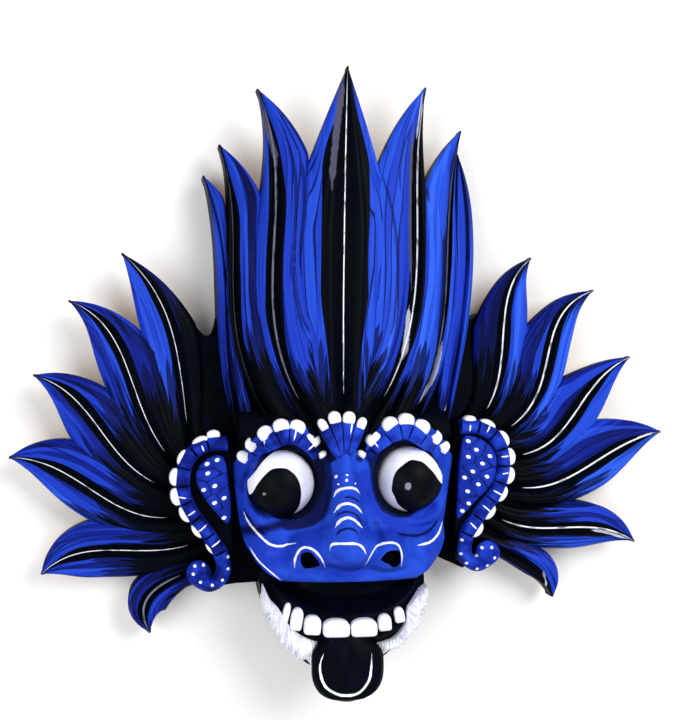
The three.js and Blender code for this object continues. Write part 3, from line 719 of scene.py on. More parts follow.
def arched(rows, x, y):
    # from the height of the side edge up to that of the middle
    _, edge, middle = rowAt(rows, y)
    s = np.minimum(1, np.abs(x) / halfWidthAt(rows, x, y))
    flatness, steepness = face["arch"]
    return edge + (middle - edge) * (1 - s ** flatness) ** steepness


# The height up the face where the blue ends and the black under the crown begins, by x
browLine = [[-92, -40], [-84.6, -27], [-79.5, -19.4], [-73.2, -9.6], [-64, -0.4], [-52.7, 5.6], [-39, 4.6],
            [-30, -2], [-25, -10], [-20, -23], [-15, -24], [-12, -10], [4, -10], [8, -24], [12.4, -22],
            [16.6, -8], [22, -1], [31.9, 6.4], [45.4, 9.4], [58.3, 4.2], [70.4, -4.4], [81.6, -14],
            [85, -18.5], [95, -30]]


def aboveBrow(x, y):
    line = np.asarray(browLine, float)
    return y - np.interp(x, line[:, 0], line[:, 1])


def fromEyes(x, y):
    # outward and upward from the middle of the nearer eye
    left, right = (np.asarray(eye["places"][side], float) for side in (-1, 1))
    ex = np.where(x < 0, left[0] - x, x - right[0])
    return ex, y - np.where(x < 0, left[1], right[1])


def faceFront(x, y):
    ax = np.abs(x)
    nx = x - nose["x"]
    ex, ey = fromEyes(x, y)
    fromEye = np.hypot(ex, ey)
    z = arched(faceRows, x, y)
    z = withMound(withMound(withMound(z, "brow", ax, y), "cheek", ax, y), "upperLip", x, y)
    ring = bag["top"] - bag["fall"] * ((fromEye - bag["radius"]) / bag["halfWidth"]) ** 2
    ring = ring - bag["fadeDepth"] * smoothStep(*bag["fade"], ey)
    z = smoothMax(z, ring - bag["outerFall"] * np.maximum(0, ax - bag["outerX"]) ** 2, bag["blend"])
    hollow = eyeSocket["floor"] + eyeSocket["depth"] * smoothStep(*eyeSocket["wall"], fromEye)
    z = smoothMin(z, hollow, eyeSocket["blend"])
    down = np.clip((nose["topY"] - y) / (nose["topY"] - nose["tipY"]), 0, 1)
    over, under = np.maximum(0, y - nose["topY"]), np.maximum(0, nose["tipY"] - y)
    fade = smoothStep(*wrinkles["upper"], y) * smoothStep(*wrinkles["lower"], y)
    bowed = y - wrinkles["crest"] + wrinkles["bow"] * nx ** 2
    wrinkle = wrinkles["height"] * np.cos(2 * np.pi * bowed / wrinkles["pitch"]) * fade
    ridge = lerp(nose["topZ"], nose["tipZ"], down ** nose["rise"]) + wrinkle
    ridge = ridge - nose["fallAbove"] * over ** 2 - nose["fallBelow"] * under ** 2
    half = lerp(nose["topHalf"], nose["tipHalf"], down)
    z = smoothMax(z, ridge - nose["fall"] * (nx / half) ** 2, nose["blend"])
    z = withMound(withMound(z, "ball", nx, y), "nostrilWing", ax, y)
    # cut finer than the solids: creases of the cheeks and nostrils, a rolled lip, a step back over the brows
    for lines, depth, halfWidth in creases:
        for points in lines:
            z = z - depth * crease(points, x, y, halfWidth)
    edge = bell(y - mouth["upperY"], mouth["upperHalfWidth"]) * (1 - smoothStep(*mouth["upperEnds"], ax))
    back = smoothStep(*face["stepEdge"], aboveBrow(x, y)) * smoothStep(*face["stepLow"], y)
    return z + 0.5 * face["lipRoll"] * edge - face["stepBack"] * back


def toothLine(x):
    return smile["middleY"] + smile["curve"] * np.abs(x - smile["middleX"]) ** 3


def jawFront(x, y):
    halfWidth = rowAt(jawRows, y)[0]
    s = np.abs(x) / halfWidth
    lowerLip = toothLine(x) - face["lipBelow"]
    inMouth = smoothStep(lowerLip - mouth["edge"], lowerLip + mouth["edge"], y)
    inMouth = inMouth * (1 - smoothStep(*mouth["corner"], s))
    rise = smoothStep(*mouth["gumRise"], y - toothLine(x))
    gum = mouth["floor"] + mouth["gum"] * rise - mouth["arch"] * x * x
    z = lerp(arched(jawRows, x, y), gum, inMouth)
    lip = bell(y - lowerLip, mouth["lipHalfWidth"]) * (1 - smoothStep(*mouth["lipEnds"], s))
    return z + 2 * face["lipRoll"] * lip


def blockSolid(name, rows, front, step, kind):
    low, high = rows[0][0], rows[-1][0]
    widest = max(row[1] for row in rows)
    count = round(2 * widest / step)
    spread = np.linspace(-1, 1, count)

    def place(u, v):
        y = lerp(low, high, v)
        return u * halfWidthAt(rows, u, y), y

    across = np.sin(np.pi / 2 * spread) * 0.5 + spread * 0.5
    along = np.linspace(0, 1, round((high - low) / step))
    return gridSolid(name, across, along, place, lambda u, v, x, y: front(x, y), flat(0), kind)


def eyeball(side):
    # a carved ball; its poles lie on the x axis, away from what shows most
    around = eye["corners"]
    turns = np.linspace(0, 2 * np.pi, around, endpoint=False)
    rises = np.linspace(0, np.pi, eye["rings"] + 1)[1:-1]
    centre = np.array([*eye["places"][side], eye["z"]])
    points = [centre + [eye["radius"], 0, 0]]
    for rise in rises:
        out = math.sin(rise)
        ring = np.stack([np.full(around, math.cos(rise)), out * np.cos(turns), out * np.sin(turns)], -1)
        points += list(centre + eye["radius"] * ring)
    points.append(centre - [eye["radius"], 0, 0])
    last = len(points) - 1
    ringStart = lambda r: 1 + r * around
    faces = [(0, ringStart(0) + i, ringStart(0) + (i + 1) % around) for i in range(around)]
    for r in range(len(rises) - 1):
        a, b = ringStart(r), ringStart(r + 1)
        faces += [(a + i, b + i, b + (i + 1) % around, a + (i + 1) % around) for i in range(around)]
    a = ringStart(len(rises) - 1)
    faces += [(a + (i + 1) % around, a + i, last) for i in range(around)]
    return makeMesh("eyeball", points, faces, eyePaint)


def ballHeight(side, x, y):
    middleX, middleY = eye["places"][side]
    return eye["z"] + np.sqrt(np.maximum(0, eye["radius"] ** 2 - (x - middleX) ** 2 - (y - middleY) ** 2))


def lidSolids(side):
    # the lids over the outer part of an eye: two rolls outside the opening, which meet at its corner
    outline = np.asarray(openings[side], float)
    lids = []
    for curve in (np.vstack([outline[-1:], outline[:7]]), np.vstack([outline[13:], outline[:2]])):
        toEye = np.asarray(eye["places"][side]) - curve[3]
        outward = -1 if np.cross(toEye, curve[4] - curve[3]) > 0 else 1
        reach = lambda v: 1 + face["lidWidth"] * np.sin(np.pi * np.clip(v, 0, 1)) ** 0.7

        def front(u, v, x, y, outward=outward):
            t = np.maximum(0, u * outward)
            roll = face["lidHeight"] * np.sqrt(np.maximum(0, 1 - (1 - np.minimum(1, 4 * t)) ** 2))
            skin, ball = faceFront(x, y), ballHeight(side, x, y)
            over = np.maximum(ball, skin) + roll - np.where(u * outward < 0, 1, 0)
            onBall = np.hypot(x - eye["places"][side][0], y - eye["places"][side][1]) < eye["radius"] + 0.4
            blended = lerp(over, skin - 0.8, smoothStep(0.3, 1, t))
            return np.where(onBall, np.maximum(blended, np.minimum(over, ball + 0.8)), blended)

        spans = (flat(0.5), reach) if outward > 0 else (reach, flat(0.5))
        across = np.array([-1, 0, 0.04, 0.1, 0.18, 0.26, 0.36, 0.48, 0.6, 0.72, 0.85, 1])
        steps = (across * outward)[::outward], np.linspace(0, 1, 80)
        lids.append(ribbonSolid("lid", partial(splineAt, curve), *spans, front, flat(50), *steps, facePaint))
    return lids


def browCurve(side, v, inward=0.0):
    # the line of scallops at shares v, or so far inside it towards the eye
    points = brow[side]["scallops"]
    v = np.asarray(v, float)
    point, ahead, behind = splineAt(points, v), splineAt(points, v + 0.01), splineAt(points, v - 0.01)
    run = ahead - behind
    run = run / np.hypot(run[..., 0], run[..., 1])[..., None]
    normal = np.stack([run[..., 1], -run[..., 0]], -1) * -side
    return point + normal * np.asarray(inward)[..., None], normal


def browBand(side, v):
    widths = brow[side]["halfWidths"]
    return np.interp(v, np.linspace(0, 1, len(widths)), widths)


def padRelief(fromCut):
    # how deep the cuts between two pads are, and how far a pad swells between them
    cut = pad["cutDepth"] * bell(fromCut, pad["cutWidth"])
    return cut, pad["swell"] * np.minimum(1, fromCut / pad["edge"])


def browGround(x, y):
    return np.maximum(withMound(arched(faceRows, x, y), "brow", np.abs(x), y), crownFront(x, y))


def browSolids(side):
    # the band over an eye, cut into pads, with a white scallop on the outer end of each
    count = len(brow[side]["scallops"])
    shares = np.arange(count) / (count - 1)
    cuts = (shares[1:] + shares[:-1]) / 2
    half = brow["scallopLength"] / 2
    length = lengthOf(browCurve(side, np.linspace(0, 1, 100))[0])

    def path(v):
        return browCurve(side, v, half - 1.2 + browBand(side, v))[0]

    def height(u, v, x, y):
        cut, swell = padRelief(np.abs(v[..., None] - cuts).min(-1) * length)
        outer, _ = browCurve(side, v, half)
        base = np.maximum(browGround(outer[..., 0], outer[..., 1]), browGround(x, y) - 2) + 1.5
        rounded = brow["padHeight"] * np.sqrt(1 - 0.85 * u * u)
        return base + rounded - brow["endDrop"] * np.abs(2 * v - 1) ** 3 - cut + swell - 0.6

    band = lambda v: browBand(side, v)
    across, along = crowded(-1, 1, 13), np.linspace(0, 1, 120)
    arch = ribbonSolid("brow", path, band, band, height, flat(brow["foot"]), across, along, padPaint)
    petals = []
    for k, share in enumerate(shares):
        at, inward = browCurve(side, share, 0.6)
        heading = math.degrees(math.atan2(-inward[1], -inward[0]))
        small = {0: 0.75, count - 1: 0.42}.get(k, 1)
        ground = float(browGround(*browCurve(side, share, half)[0]))
        top = ground + brow["scallopHeight"] - brow["endDrop"] * abs(2 * share - 1) ** 3
        reach = half * min(1, 0.3 + small) + 0.6
        petals.append((*at, heading, reach, small * brow["scallopWidth"] / 2, brow["foot"], top))
    return [arch, makePetals(petals, (2, 5), whitePaint, rings=6, shoulder=0.93)]


def crownFront(x, y):
    halfWidth, edge, middle = rowAt(crownRows, y)
    return middle - (middle - edge) * np.minimum(crown["pastEdge"], np.abs(x) / halfWidth) ** crown["arch"]


tuft = {
    "x": -4, "y": -28, "reach": 34, "headings": [119, 102, 84, 66.5], "halfWidths": [4, 5.4, 5.4, 4.2],
    "caps": [34.8, 36.8, 36, 34.2], "capHalf": 4.7, "leafMiddle": 0.62, "leafShare": 0.45, "foot": 60,
    "top": 97,
}


def tuftSolids():
    # four leaves between the brows, and a white cap over the end of each
    leaves, caps = [], []
    for heading, halfWidth, cap in zip(tuft["headings"], tuft["halfWidths"], tuft["caps"]):
        out = polar(heading)
        x, y = np.array([tuft["x"], tuft["y"]]) + out * tuft["reach"] * tuft["leafMiddle"]
        size = tuft["reach"] * tuft["leafShare"], halfWidth + 0.5
        leaves.append((x, y, heading, *size, tuft["foot"], tuft["top"]))
        x, y = np.array([tuft["x"], tuft["y"]]) + out * cap
        caps.append((x, y, heading, tuft["capHalf"], halfWidth - 0.7, tuft["foot"], tuft["top"] + 0.4))
    shaped = []
    for start in (0, 1):
        shaped.append(makePetals(leaves[start::2], (3, 3), padPaint, rings=6, shoulder=0.86))
        shaped.append(makePetals(caps[start::2], (2, 5), whitePaint, shoulder=0.93))
    return shaped


def toothSolids():
    # flat below, arched above
    petals = []
    for left, right, low, high in teeth:
        centre = (left + right) / 2
        tilt = 8 * (toothLine(centre + 1) - toothLine(centre - 1))
        top = mouth["teethTop"] - mouth["teethArch"] * centre * centre
        size = (high - low) / 2, (right - left) / 2
        petals.append((centre, (low + high) / 2, tilt + 90, *size, mouth["teethFoot"], top))
    finely = {"corners": 36, "rings": 7, "shoulder": 0.9, "foot": whitePaint}
    return [makePetals(petals, (2.5, 6), whitePaint, **finely)]


tongue = {
    "x": 0.3, "top": -158, "end": -214, "halfWidth": 28, "thickness": 12, "rim": 3.4, "rimHeight": 1.6,
    "rimHalfWidth": 2.2, "edgeHalfWidth": 1.6, "neckShare": 0.36, "neck": (0.14, 0.24), "tipShare": 0.25,
    "squareness": 2.6, "z": 76, "arch": 13, "sideFall": 4, "rootShare": 0.35, "rootDepth": 20,
    "furrowDepth": 1.4, "furrowHalfWidth": 3, "furrowFrom": (0.1, 0.4), "furrowTo": (0.7, 0.9),
}


def tongueSolid():
    length = tongue["top"] - tongue["end"]
    roundFrom = 1 - tongue["halfWidth"] / length
    neckFrom, neckReach = tongue["neck"]

    def halfWidth(v):
        t = np.clip((v - roundFrom) / (1 - roundFrom), 0, 1)
        shoulder = 1 - tongue["neckShare"] * (1 - np.clip((v - neckFrom) / neckReach, 0, 1)) ** 2.2
        rounded = (1 - t ** tongue["squareness"]) ** (1 / tongue["squareness"])
        return tongue["halfWidth"] * shoulder * np.maximum(tongue["tipShare"], rounded)

    def middle(v):
        return tongue["z"] + tongue["arch"] * np.sin(np.pi * (0.12 + 0.72 * v))

    def front(u, v, x, y):
        fromEdge = np.minimum((1 - np.abs(u)) * halfWidth(v), (1 - v) * length)
        rolled = bell(fromEdge - tongue["rim"], tongue["rimHalfWidth"])
        rolled = rolled - bell(fromEdge, tongue["edgeHalfWidth"])
        inFurrow = np.exp(-(x - tongue["x"]) ** 2 / tongue["furrowHalfWidth"] ** 2)
        furrow = tongue["furrowDepth"] * inFurrow * smoothStep(*tongue["furrowFrom"], v)
        plain = middle(v) - tongue["sideFall"] * u * u + tongue["rimHeight"] * rolled
        return plain - furrow * (1 - smoothStep(*tongue["furrowTo"], v))

    def back(u, v, x, y):
        return middle(v) - tongue["thickness"] - np.where(v < tongue["rootShare"], tongue["rootDepth"], 0)

    path = lambda v: np.stack([np.full_like(v, tongue["x"]), lerp(tongue["top"], tongue["end"], v)], -1)
    across = crowded(-1, 1, 41)
    along = crowded(0, 1, 60)
    return ribbonSolid("tongue", path, halfWidth, halfWidth, front, back, across, along, blackPaint)


# Crown, beard and the hollows behind

# Each flame: x, y and heading of its start, then of its tip; for its left and then its right side the
# greatest width, taper, black band beside the line, tone from dark to bright, and reach of the black root;
# half width of the line down the groove, below 0 where it is grey; limits to the two widths; bend
crownFlames = [
    [(-82, 0, 104), (-110, 200, 112), (7.5, 2, 0, 0.45, 6), (20, 2.8, 0, 0.42, 10), 0, (99, 3)],
    [(-65, 17, 120), (-97.5, 224, 108), (6, 1.2, 4.5, 0.55, 8), (32, 2.5, 5.5, 0.4, 36), -0.4, (99, 20)],
    [(-35, 17, 120), (-68, 267, 112), (15.5, 1.3, 6.5, 0.62, 12), (38, 2.2, 7, 0.42, 16), -0.8, (99, 24)],
    [(-3, 21, 90), (3, 284.5, 88), (39.5, 1.5, 19.5, 0.55, 8), (37, 1.5, 19, 0.75, 6), 0.5],
    [(27, 19, 58), (68, 271.5, 77), (42, 2.2, 6.5, 0.6, 12), (13.5, 0.9, 6.5, 0.6, 6), 0.6],
    [(60, 15.6, 62), (100, 239.5, 73), (31, 2.6, 2.2, 0.78, 14), (10.5, 1, 2.4, 0.6, 6), -0.5, (25.5, 99)],
    [(84, -4, 80), (96.5, 219.5, 103), (15, 2, 0, 0.72, 14), (7.8, 5, 0, 0.72, 14), 0, (11.5, 99)],
]
leftFlames = [
    [(-122.7, -0.5, 97), (-174.6, 137, 140), (23.5, 2.2, 5.5, 0.56, 16), (20, 1, 6, 0.1, 84), 0.36],
    [(-138.8, -23.8, 128), (-216.4, 99, 160), (21.5, 1.9, 6, 0.58, 34), (31.5, 0.95, 6.5, 0.3, 46), 0.36],
    [(-146, -48, 155), (-243.8, 40, 165), (23, 1.7, 6, 0.56, 34), (29, 1.4, 6.5, 0.3, 42), 0.36],
    [(-136.4, -74.6, 184), (-262.5, -25, 180), (21.5, 2, 6, 0.58, 40), (33, 2, 6.5, 0.35, 30), 0.36],
    [(-119.5, -96.6, 197), (-237.6, -117.5, 224), (21.5, 3, 5.5, 0.42, 44), (24.5, 2.4, 5.5, 0.45, 30),
     0.36],
    [(-126.8, -121, 199), (-152.3, -166.5, 302), (17.5, 2, 4, 0.45, 2), (15.5, 1.6, 4.5, 0.35, 2), -0.8,
     (99, 99), 0.5],
]
rightFlames = [
    [(123.4, 9.6, 57), (160.2, 136.3, 40), (25, 1.1, 6.5, 0.15, 34), (20, 2.2, 5, 0.8, 6), 0.66],
    [(143, -4.6, 33), (213.6, 110, 20), (34.5, 0.8, 6.5, 0.28, 30), (17, 2.8, 5.5, 0.85, 10), 0.66,
     (99, 99), 0.45],
    [(152.4, -27.2, 10), (245, 54.5, 25), (36.5, 0.85, 7, 0.36, 10), (18.5, 2.1, 5.5, 0.88, 22), 0.66,
     (99, 99), 0.42],
    [(152.4, -54, -6), (272, -8, 10), (36, 1.7, 6, 0.36, 18), (20.5, 1.7, 5.5, 0.88, 36), 0.66],
    [(135.4, -79.5, -27), (249.3, -99.7, -34), (21.5, 2.6, 5, 0.36, 36), (17.5, 1.9, 7, 0.62, 24), 0.66],
    [(133, -104, -22), (179.5, -145, -85), (16, 2.2, 0, 0.55, 4), (9.3, 1.3, 7.4, 0.3, 4), 0],
]

crown = {
    "relief": 8.5, "columnStep": 1.7, "rowStep": 2.4, "hollowFrom": 34, "hollowShare": 0.84,
    "hollowFullAt": 94, "hollowDepth": 46, "thickness": (88, 10), "thins": (40, 255),
    "pastEdge": 1.3, "arch": 2.2,
}
faceHollow = {"top": -12, "bottom": -176, "wall": 15, "depth": 58, "endReach": 40}
nostril = {
    -1: [[-38.5, -97], [-36, -94.1], [-31.7, -93.8], [-27.6, -98], [-24.2, -103.6], [-26.9, -105.2],
         [-31.9, -106.6], [-35.5, -107.2], [-38, -103.4]],
    1: [[22.9, -100.8], [25, -96.6], [28.4, -93.9], [33, -93.4], [37.4, -94.8], [38.8, -101],
        [39.4, -107.6], [33.5, -107.8], [28.6, -103.9]],
    "z": 101.5, "depth": 9,
}
gouge = {"pitch": 9, "stretch": 1.7, "depth": 0.7}     # the chisel's bites left in the bare wood behind


def gougeMarks(x, y):
    # shallow scoops side by side, as a gouge leaves them
    row = np.floor(y / gouge["pitch"])
    shift = np.sin(row * 12.9898) * 43.7      # each row's own, as if by chance
    across = np.sin(np.pi * (x + shift) / (gouge["stretch"] * gouge["pitch"]))
    return gouge["depth"] * np.abs(across * np.sin(np.pi * y / gouge["pitch"]))


def crownBack(x, y):
    s = np.abs(x) / rowAt(crownRows, y)[0]
    hollow = crown["hollowDepth"] * smoothStep(crown["hollowFrom"], crown["hollowFullAt"], y)
    arch = hollow * (1 - (s / crown["hollowShare"]) ** 2.5)
    thickest = lerp(*crown["thickness"], smoothStep(*crown["thins"], y))
    found = np.maximum(arch, crownFront(x, y) - thickest)
    return np.maximum(-1, found + np.where(found > 0, gougeMarks(x, y) - gouge["depth"], 0))


def crownHollow():
    place = lambda u, v: (125 * u, lerp(crown["hollowFrom"] - 4, 300, v))
    height = lambda u, v, x, y: crownBack(x, y)
    across, along = np.linspace(-1, 1, 100), np.linspace(0, 1, 110)
    return gridSolid("crownHollow", across, along, place, height, flat(-6), bareWood)


def faceHollowCutter():
    length = faceHollow["top"] - faceHollow["bottom"]

    def place(u, v):
        y = lerp(faceHollow["bottom"], faceHollow["top"], v)
        wide = np.where(y > faceRows[0][0] - 3, rowAt(faceRows, y)[0], rowAt(jawRows, y)[0])
        ends = np.minimum(1, np.minimum(v, 1 - v) * length / faceHollow["endReach"])
        rounded = np.sqrt(np.maximum(0.1, 1 - (1 - ends) ** 2))
        return u * np.maximum(8, (wide - faceHollow["wall"]) * rounded), y

    def height(u, v, x, y):
        deep = faceHollow["depth"] * np.sin(np.pi * np.clip(v, 0, 1)) ** 0.5
        arch = deep * np.sqrt(np.maximum(0, 1 - np.abs(u) ** 3))
        return np.maximum(1, arch + np.where(arch > 2, gougeMarks(x, y) - gouge["depth"], 0))

    across = crowded(-1, 1, 61)
    return gridSolid("faceHollow", across, np.linspace(0.001, 0.999, 70), place, height, flat(-5), bareWood)


def nostrilCutters():
    cutters = []
    for side in (-1, 1):
        outline = counterClockwise(closedCurve(nostril[side], 36))
        middle = outline.mean(0)
        rings = [(math.sin(a), math.cos(a)) for a in np.linspace(0.15, 0.98, 8) * np.pi / 2]
        stack = [(share, nostril["z"] - nostril["depth"] * depth) for share, depth in rings] + [(1.15, 130)]
        outlines = [lerp(middle, outline, share) for share, _ in stack]
        cutters.append(stackSolid("nostril", outlines, [z for _, z in stack], blackPaint))
    return cutters


beard = {
    -1: {
        "inner": [[-63.4, -126], [-59, -135.5], [-53.4, -141.4], [-48.6, -148.5], [-43.3, -156.5],
                  [-33, -164.2], [-19.5, -169.6]],
        "outer": [[-64.6, -124], [-65.3, -137.9], [-61.4, -149.6], [-56.6, -159.6], [-48, -171.4],
                  [-37.5, -182], [-25.5, -188]],
    },
    1: {
        "inner": [[60.4, -130], [53.6, -138.5], [49.2, -144.6], [48.4, -155], [43.6, -163], [36.8, -168.6],
                  [25.4, -171.4]],
        "outer": [[66, -127], [66.4, -137], [64, -146.6], [59.4, -157.4], [51.4, -167.4], [41.6, -175.6],
                  [29, -181.6]],
    },
    "top": 69, "crown": 7, "wisp": 8.5, "wispDepth": 2.2, "hair": 2.1, "hairDepth": 0.32, "foot": 46,
    "slant": (15, 5), "sway": 0.35, "ragged": 0.2, "edgeDrop": 5, "topDrop": 4, "endDrop": 3,
}


def beardSolid(side):
    # wisps of hair from the corner of the mouth down to the tongue, the lower ends ragged
    inner, outer = (np.asarray(beard[side][edge], float) for edge in ("inner", "outer"))
    length = lengthOf(curveOf(outer, 60))

    def strands(u, v):
        # the hair runs down and outward, more along the jaw than across it
        return v * length - u * lerp(*beard["slant"], v)

    def wisps(u, v):
        s = strands(u, v) / beard["wisp"] + beard["sway"] * np.sin(v * 17)
        return 1 - np.abs(2 * (s - np.floor(s)) - 1) ** 1.6

    def place(u, v):
        ragged = 1 + beard["ragged"] * (wisps(1, v) - 0.75) * smoothStep(0.1, 0.3, v)
        return np.moveaxis(lerp(splineAt(inner, v), splineAt(outer, v), (u * ragged)[..., None]), -1, 0)

    def height(u, v, x, y):
        dome = beard["crown"] * np.sin(np.pi * np.clip(0.12 + 0.7 * u, 0, 1)) - beard["edgeDrop"] * u ** 4
        hair = np.cos(2 * np.pi * strands(u, v) / beard["hair"])
        z = beard["top"] + dome + beard["wispDepth"] * wisps(u, v) + beard["hairDepth"] * hair
        return z - beard["topDrop"] * (1 - smoothStep(0, 0.1, v)) - beard["endDrop"] * smoothStep(0.9, 1, v)

    across, along = crowded(0, 1, 30)[::-side], np.linspace(0, 1, 190)
    layers = {"strand": lambda u, v: (strands(u, v), 40 * u + 1)}
    return gridSolid("beard", across, along, place, height, flat(beard["foot"]), whitePaint, layers)


# Wings

wing = {
    "relief": 6.5, "frontZ": 25, "tipLift": 7, "rootReach": 75, "tipReach": 160, "tipThickness": 8,
    "columnStep": 1.7, "rowStep": 2.2, "seam": 0.35, "lifts": (80, 170),
}
ear = {
    "top": 57, "floor": 46, "knob": [119.5, -104.5], "knobRadius": 10, "scaleDepth": 0.9,
    "shift": [-5.3, -12], "middles": {-1: [-104.7, -62], 1: [110, -50]},
}
rimPath = [[97, -2], [113, -3], [127, -12.5], [132.3, -32], [127, -53], [112, -74], [101.5, -91],
           [101, -106], [110, -113.5], [119.5, -109.5], [120.5, -103]]
rim = {"halfWidth": 5.9, "height": 5.4, "padsTo": 0.62, "scallopLength": 4.4, "scallopWidth": 6.9}
scallops = {
    -1: [[-102.6, -5.8], [-113.1, -12.1], [-126.9, -24.8], [-133.7, -40], [-132.8, -56], [-125.3, -69.9],
         [-115.1, -82.8], [-104.2, -95.8]],
    1: [[104.3, 4.6], [119.4, -0.1], [132.8, -11.4], [138.5, -26.3], [137.9, -42.1], [131.4, -56.9],
        [121, -71.7], [110.9, -85.8]],
}
earLobes = {
    -1: [[-98.2, -23.1], [-108.1, -26.1], [-115, -33.9], [-116.4, -41.7], [-114.1, -48.6], [-109.1, -57.7],
         [-102.2, -66.7], [-92.3, -76.8], [-88.9, -66.8], [-91.2, -42.2], [-93.3, -28.2]],
    1: [[98.7, -10.2], [109.9, -10.7], [119.5, -16.4], [124.8, -24.8], [125.6, -33.9], [123.8, -43.4],
        [118.5, -51.9], [109, -61.2], [96.2, -74.3], [93.1, -72.8], [94, -44.6], [95.5, -26]],
}
boards = {
    1: [[60, 95], [106, 96], [107.2, 90.5], [108.8, 87], [111, 85.8], [113.4, 87], [117.6, 91], [124, 80],
        [148, 20], [156, -60], [138, -100], [122, -112], [104, -120], [60, -100]],
    -1: [[-60, 88], [-99.4, 88], [-100.6, 80.6], [-102.6, 74.6], [-105.6, 71.6], [-109, 72.2],
         [-113.4, 76.4], [-119, 84.6], [-126, 60], [-142, 10], [-144, -90], [-126, -126], [-108, -132.5],
         [-84, -129], [-60, -128]],
}
# White dots, one on each scale of the ear's lobe and along its curl
lobeDots = {
    1: [[101.8, -13.3], [108.3, -20.3], [101.6, -25.9], [119.5, -25.5], [113.2, -31.4], [105.2, -37.7],
        [98.6, -42.6], [117, -42], [109.8, -48.1], [101, -53.6], [102.1, -63.5], [97, -69.5]],
    -1: [[-107.8, -29.6], [-99.9, -26.6], [-107.3, -37], [-101.8, -46.9], [-110.5, -50], [-94.5, -56.5],
         [-102, -60.3], [-94.5, -72.2]],
}
curlDots = {
    1: [[96.8, -93], [96.6, -104.5], [101.2, -112.2], [110, -117], [118.5, -114.5], [124, -108],
        [121.5, -99.5], [113.7, -99.7], [109.8, -106.5]],
    -1: [[-117.3, -110], [-110.5, -109.4], [-118.6, -116.2], [-112.9, -122.8], [-103.6, -125.4],
         [-95.6, -121.6], [-91.2, -112.7], [-91.2, -103.2]],
}


def earPoint(side, points):
    points = np.asarray(points, float)
    return points if side > 0 else (points + ear["shift"]) * [-1, 1]


def fromEar(side, x, y):
    middleX, middleY = ear["middles"][side]
    return np.hypot(x - middleX, y - middleY)


def wingFront(side, x, y):
    return wing["frontZ"] + wing["tipLift"] * smoothStep(*wing["lifts"], fromEar(side, x, y))


def wingBack(side, x, y):
    outward = smoothStep(wing["rootReach"], wing["tipReach"], fromEar(side, x, y))
    return np.maximum(0, wingFront(side, x, y) - lerp(wing["frontZ"], wing["tipThickness"], outward))


def closedCurve(points, count):
    # a smooth closed outline through a few points
    points = list(points)
    around = np.asarray(points[-2:] + points + points[:3], float)
    span = len(around) - 1
    return splineAt(around, np.linspace(2, 2 + len(points), count, endpoint=False) / span)


def rimShares(side):
    # how far along the rim each scallop stands, and each cut between two pads
    shares = np.linspace(0, 1, 500)
    curve = earPoint(side, splineAt(rimPath, shares))
    near = np.array([shares[np.hypot(*(curve - point).T).argmin()] for point in scallops[side]])
    return near, np.append((near[1:] + near[:-1]) / 2, near[-1] + 0.04)


def rimCuts(side):
    # the dark lines between the pads of a rim
    lines = []
    for share in rimShares(side)[1]:
        here, ahead = (earPoint(side, splineAt(rimPath, share + step)) for step in (0, 0.005))
        out = np.array([ahead[1] - here[1], here[0] - ahead[0]]) / np.hypot(*(ahead - here))
        lines.append([here + 0.96 * rim["halfWidth"] * out, here - 0.96 * rim["halfWidth"] * out])
    return lines


def earSolids(side):
    def rimAt(v):
        return earPoint(side, splineAt(rimPath, v))

    def along(v):
        return v if side > 0 else 1 - v

    shares, padCuts = rimShares(side)
    rimLength = lengthOf(curveOf(rimPath, 200))

    def halfWidth(v):
        return rim["halfWidth"] + 1.2 * smoothStep(0.86, 1, along(v))

    def front(u, v, x, y):
        s = along(v)
        cut, swell = padRelief(np.abs(s[..., None] - padCuts).min(-1) * rimLength)
        onPads = 1 - smoothStep(rim["padsTo"], rim["padsTo"] + 0.06, s)
        roll = rim["height"] * np.abs(u) ** lerp(2.0, 2.8, onPads)
        return ear["top"] - roll - 2 * smoothStep(0.6, 0.72, s) - cut * onPads + swell * onPads - 0.4

    roll = ribbonSolid(
        "rim", lambda v: rimAt(along(v)), halfWidth, halfWidth, front, flat(0),
        crowded(-1, 1, 15), np.linspace(0, 1, 190), padPaint,
    )
    around = earPoint(side, ear["knob"]) + ear["knobRadius"] * petalOutline(40, 2, 2)
    knob = domeSolid("knob", around, 0, ear["top"] - 1, domeRings(8, 2.4, 0.86), padPaint)
    petals = []
    for k, (point, v) in enumerate(zip(scallops[side], shares)):
        run = rimAt(min(1, v + 0.02)) - rimAt(max(0, v - 0.02))
        out = np.array([-run[1], run[0]]) * side / np.hypot(*run)
        small = 0.75 if k == 0 else 1
        at = np.array(point) - 0.8 * out
        size = small * rim["scallopLength"], small * rim["scallopWidth"]
        petals.append((*at, math.degrees(math.atan2(out[1], out[0])), *size, 8, ear["top"] - 2.4))
    floorOutline = earPoint(side, [[93.4, 2], *rimPath[:7], [93.4, -92]])
    dots = np.array(lobeDots[side])

    def scales(x, y):
        away = np.sort(np.hypot(x[..., None] - dots[:, 0], y[..., None] - dots[:, 1]), -1)
        edge = (away[..., 1] - away[..., 0]) / 2
        return ear["scaleDepth"] * (1 - bell(edge, ear["scaleDepth"])) - ear["scaleDepth"]

    outline = counterClockwise(closedCurve(earLobes[side], 90))
    rings = domeRings(26, 2.6, 0.74)
    lobe = domeSolid("lobe", outline, ear["floor"] - 4, ear["top"] + 1, rings, lobePaint, scales)
    solids = [roll, knob, prism("earFloor", floorOutline, 0, ear["floor"], blackPaint), lobe]
    return solids + [makePetals(petals[k::2], (2, 6), whitePaint, shoulder=0.93) for k in (0, 1)]


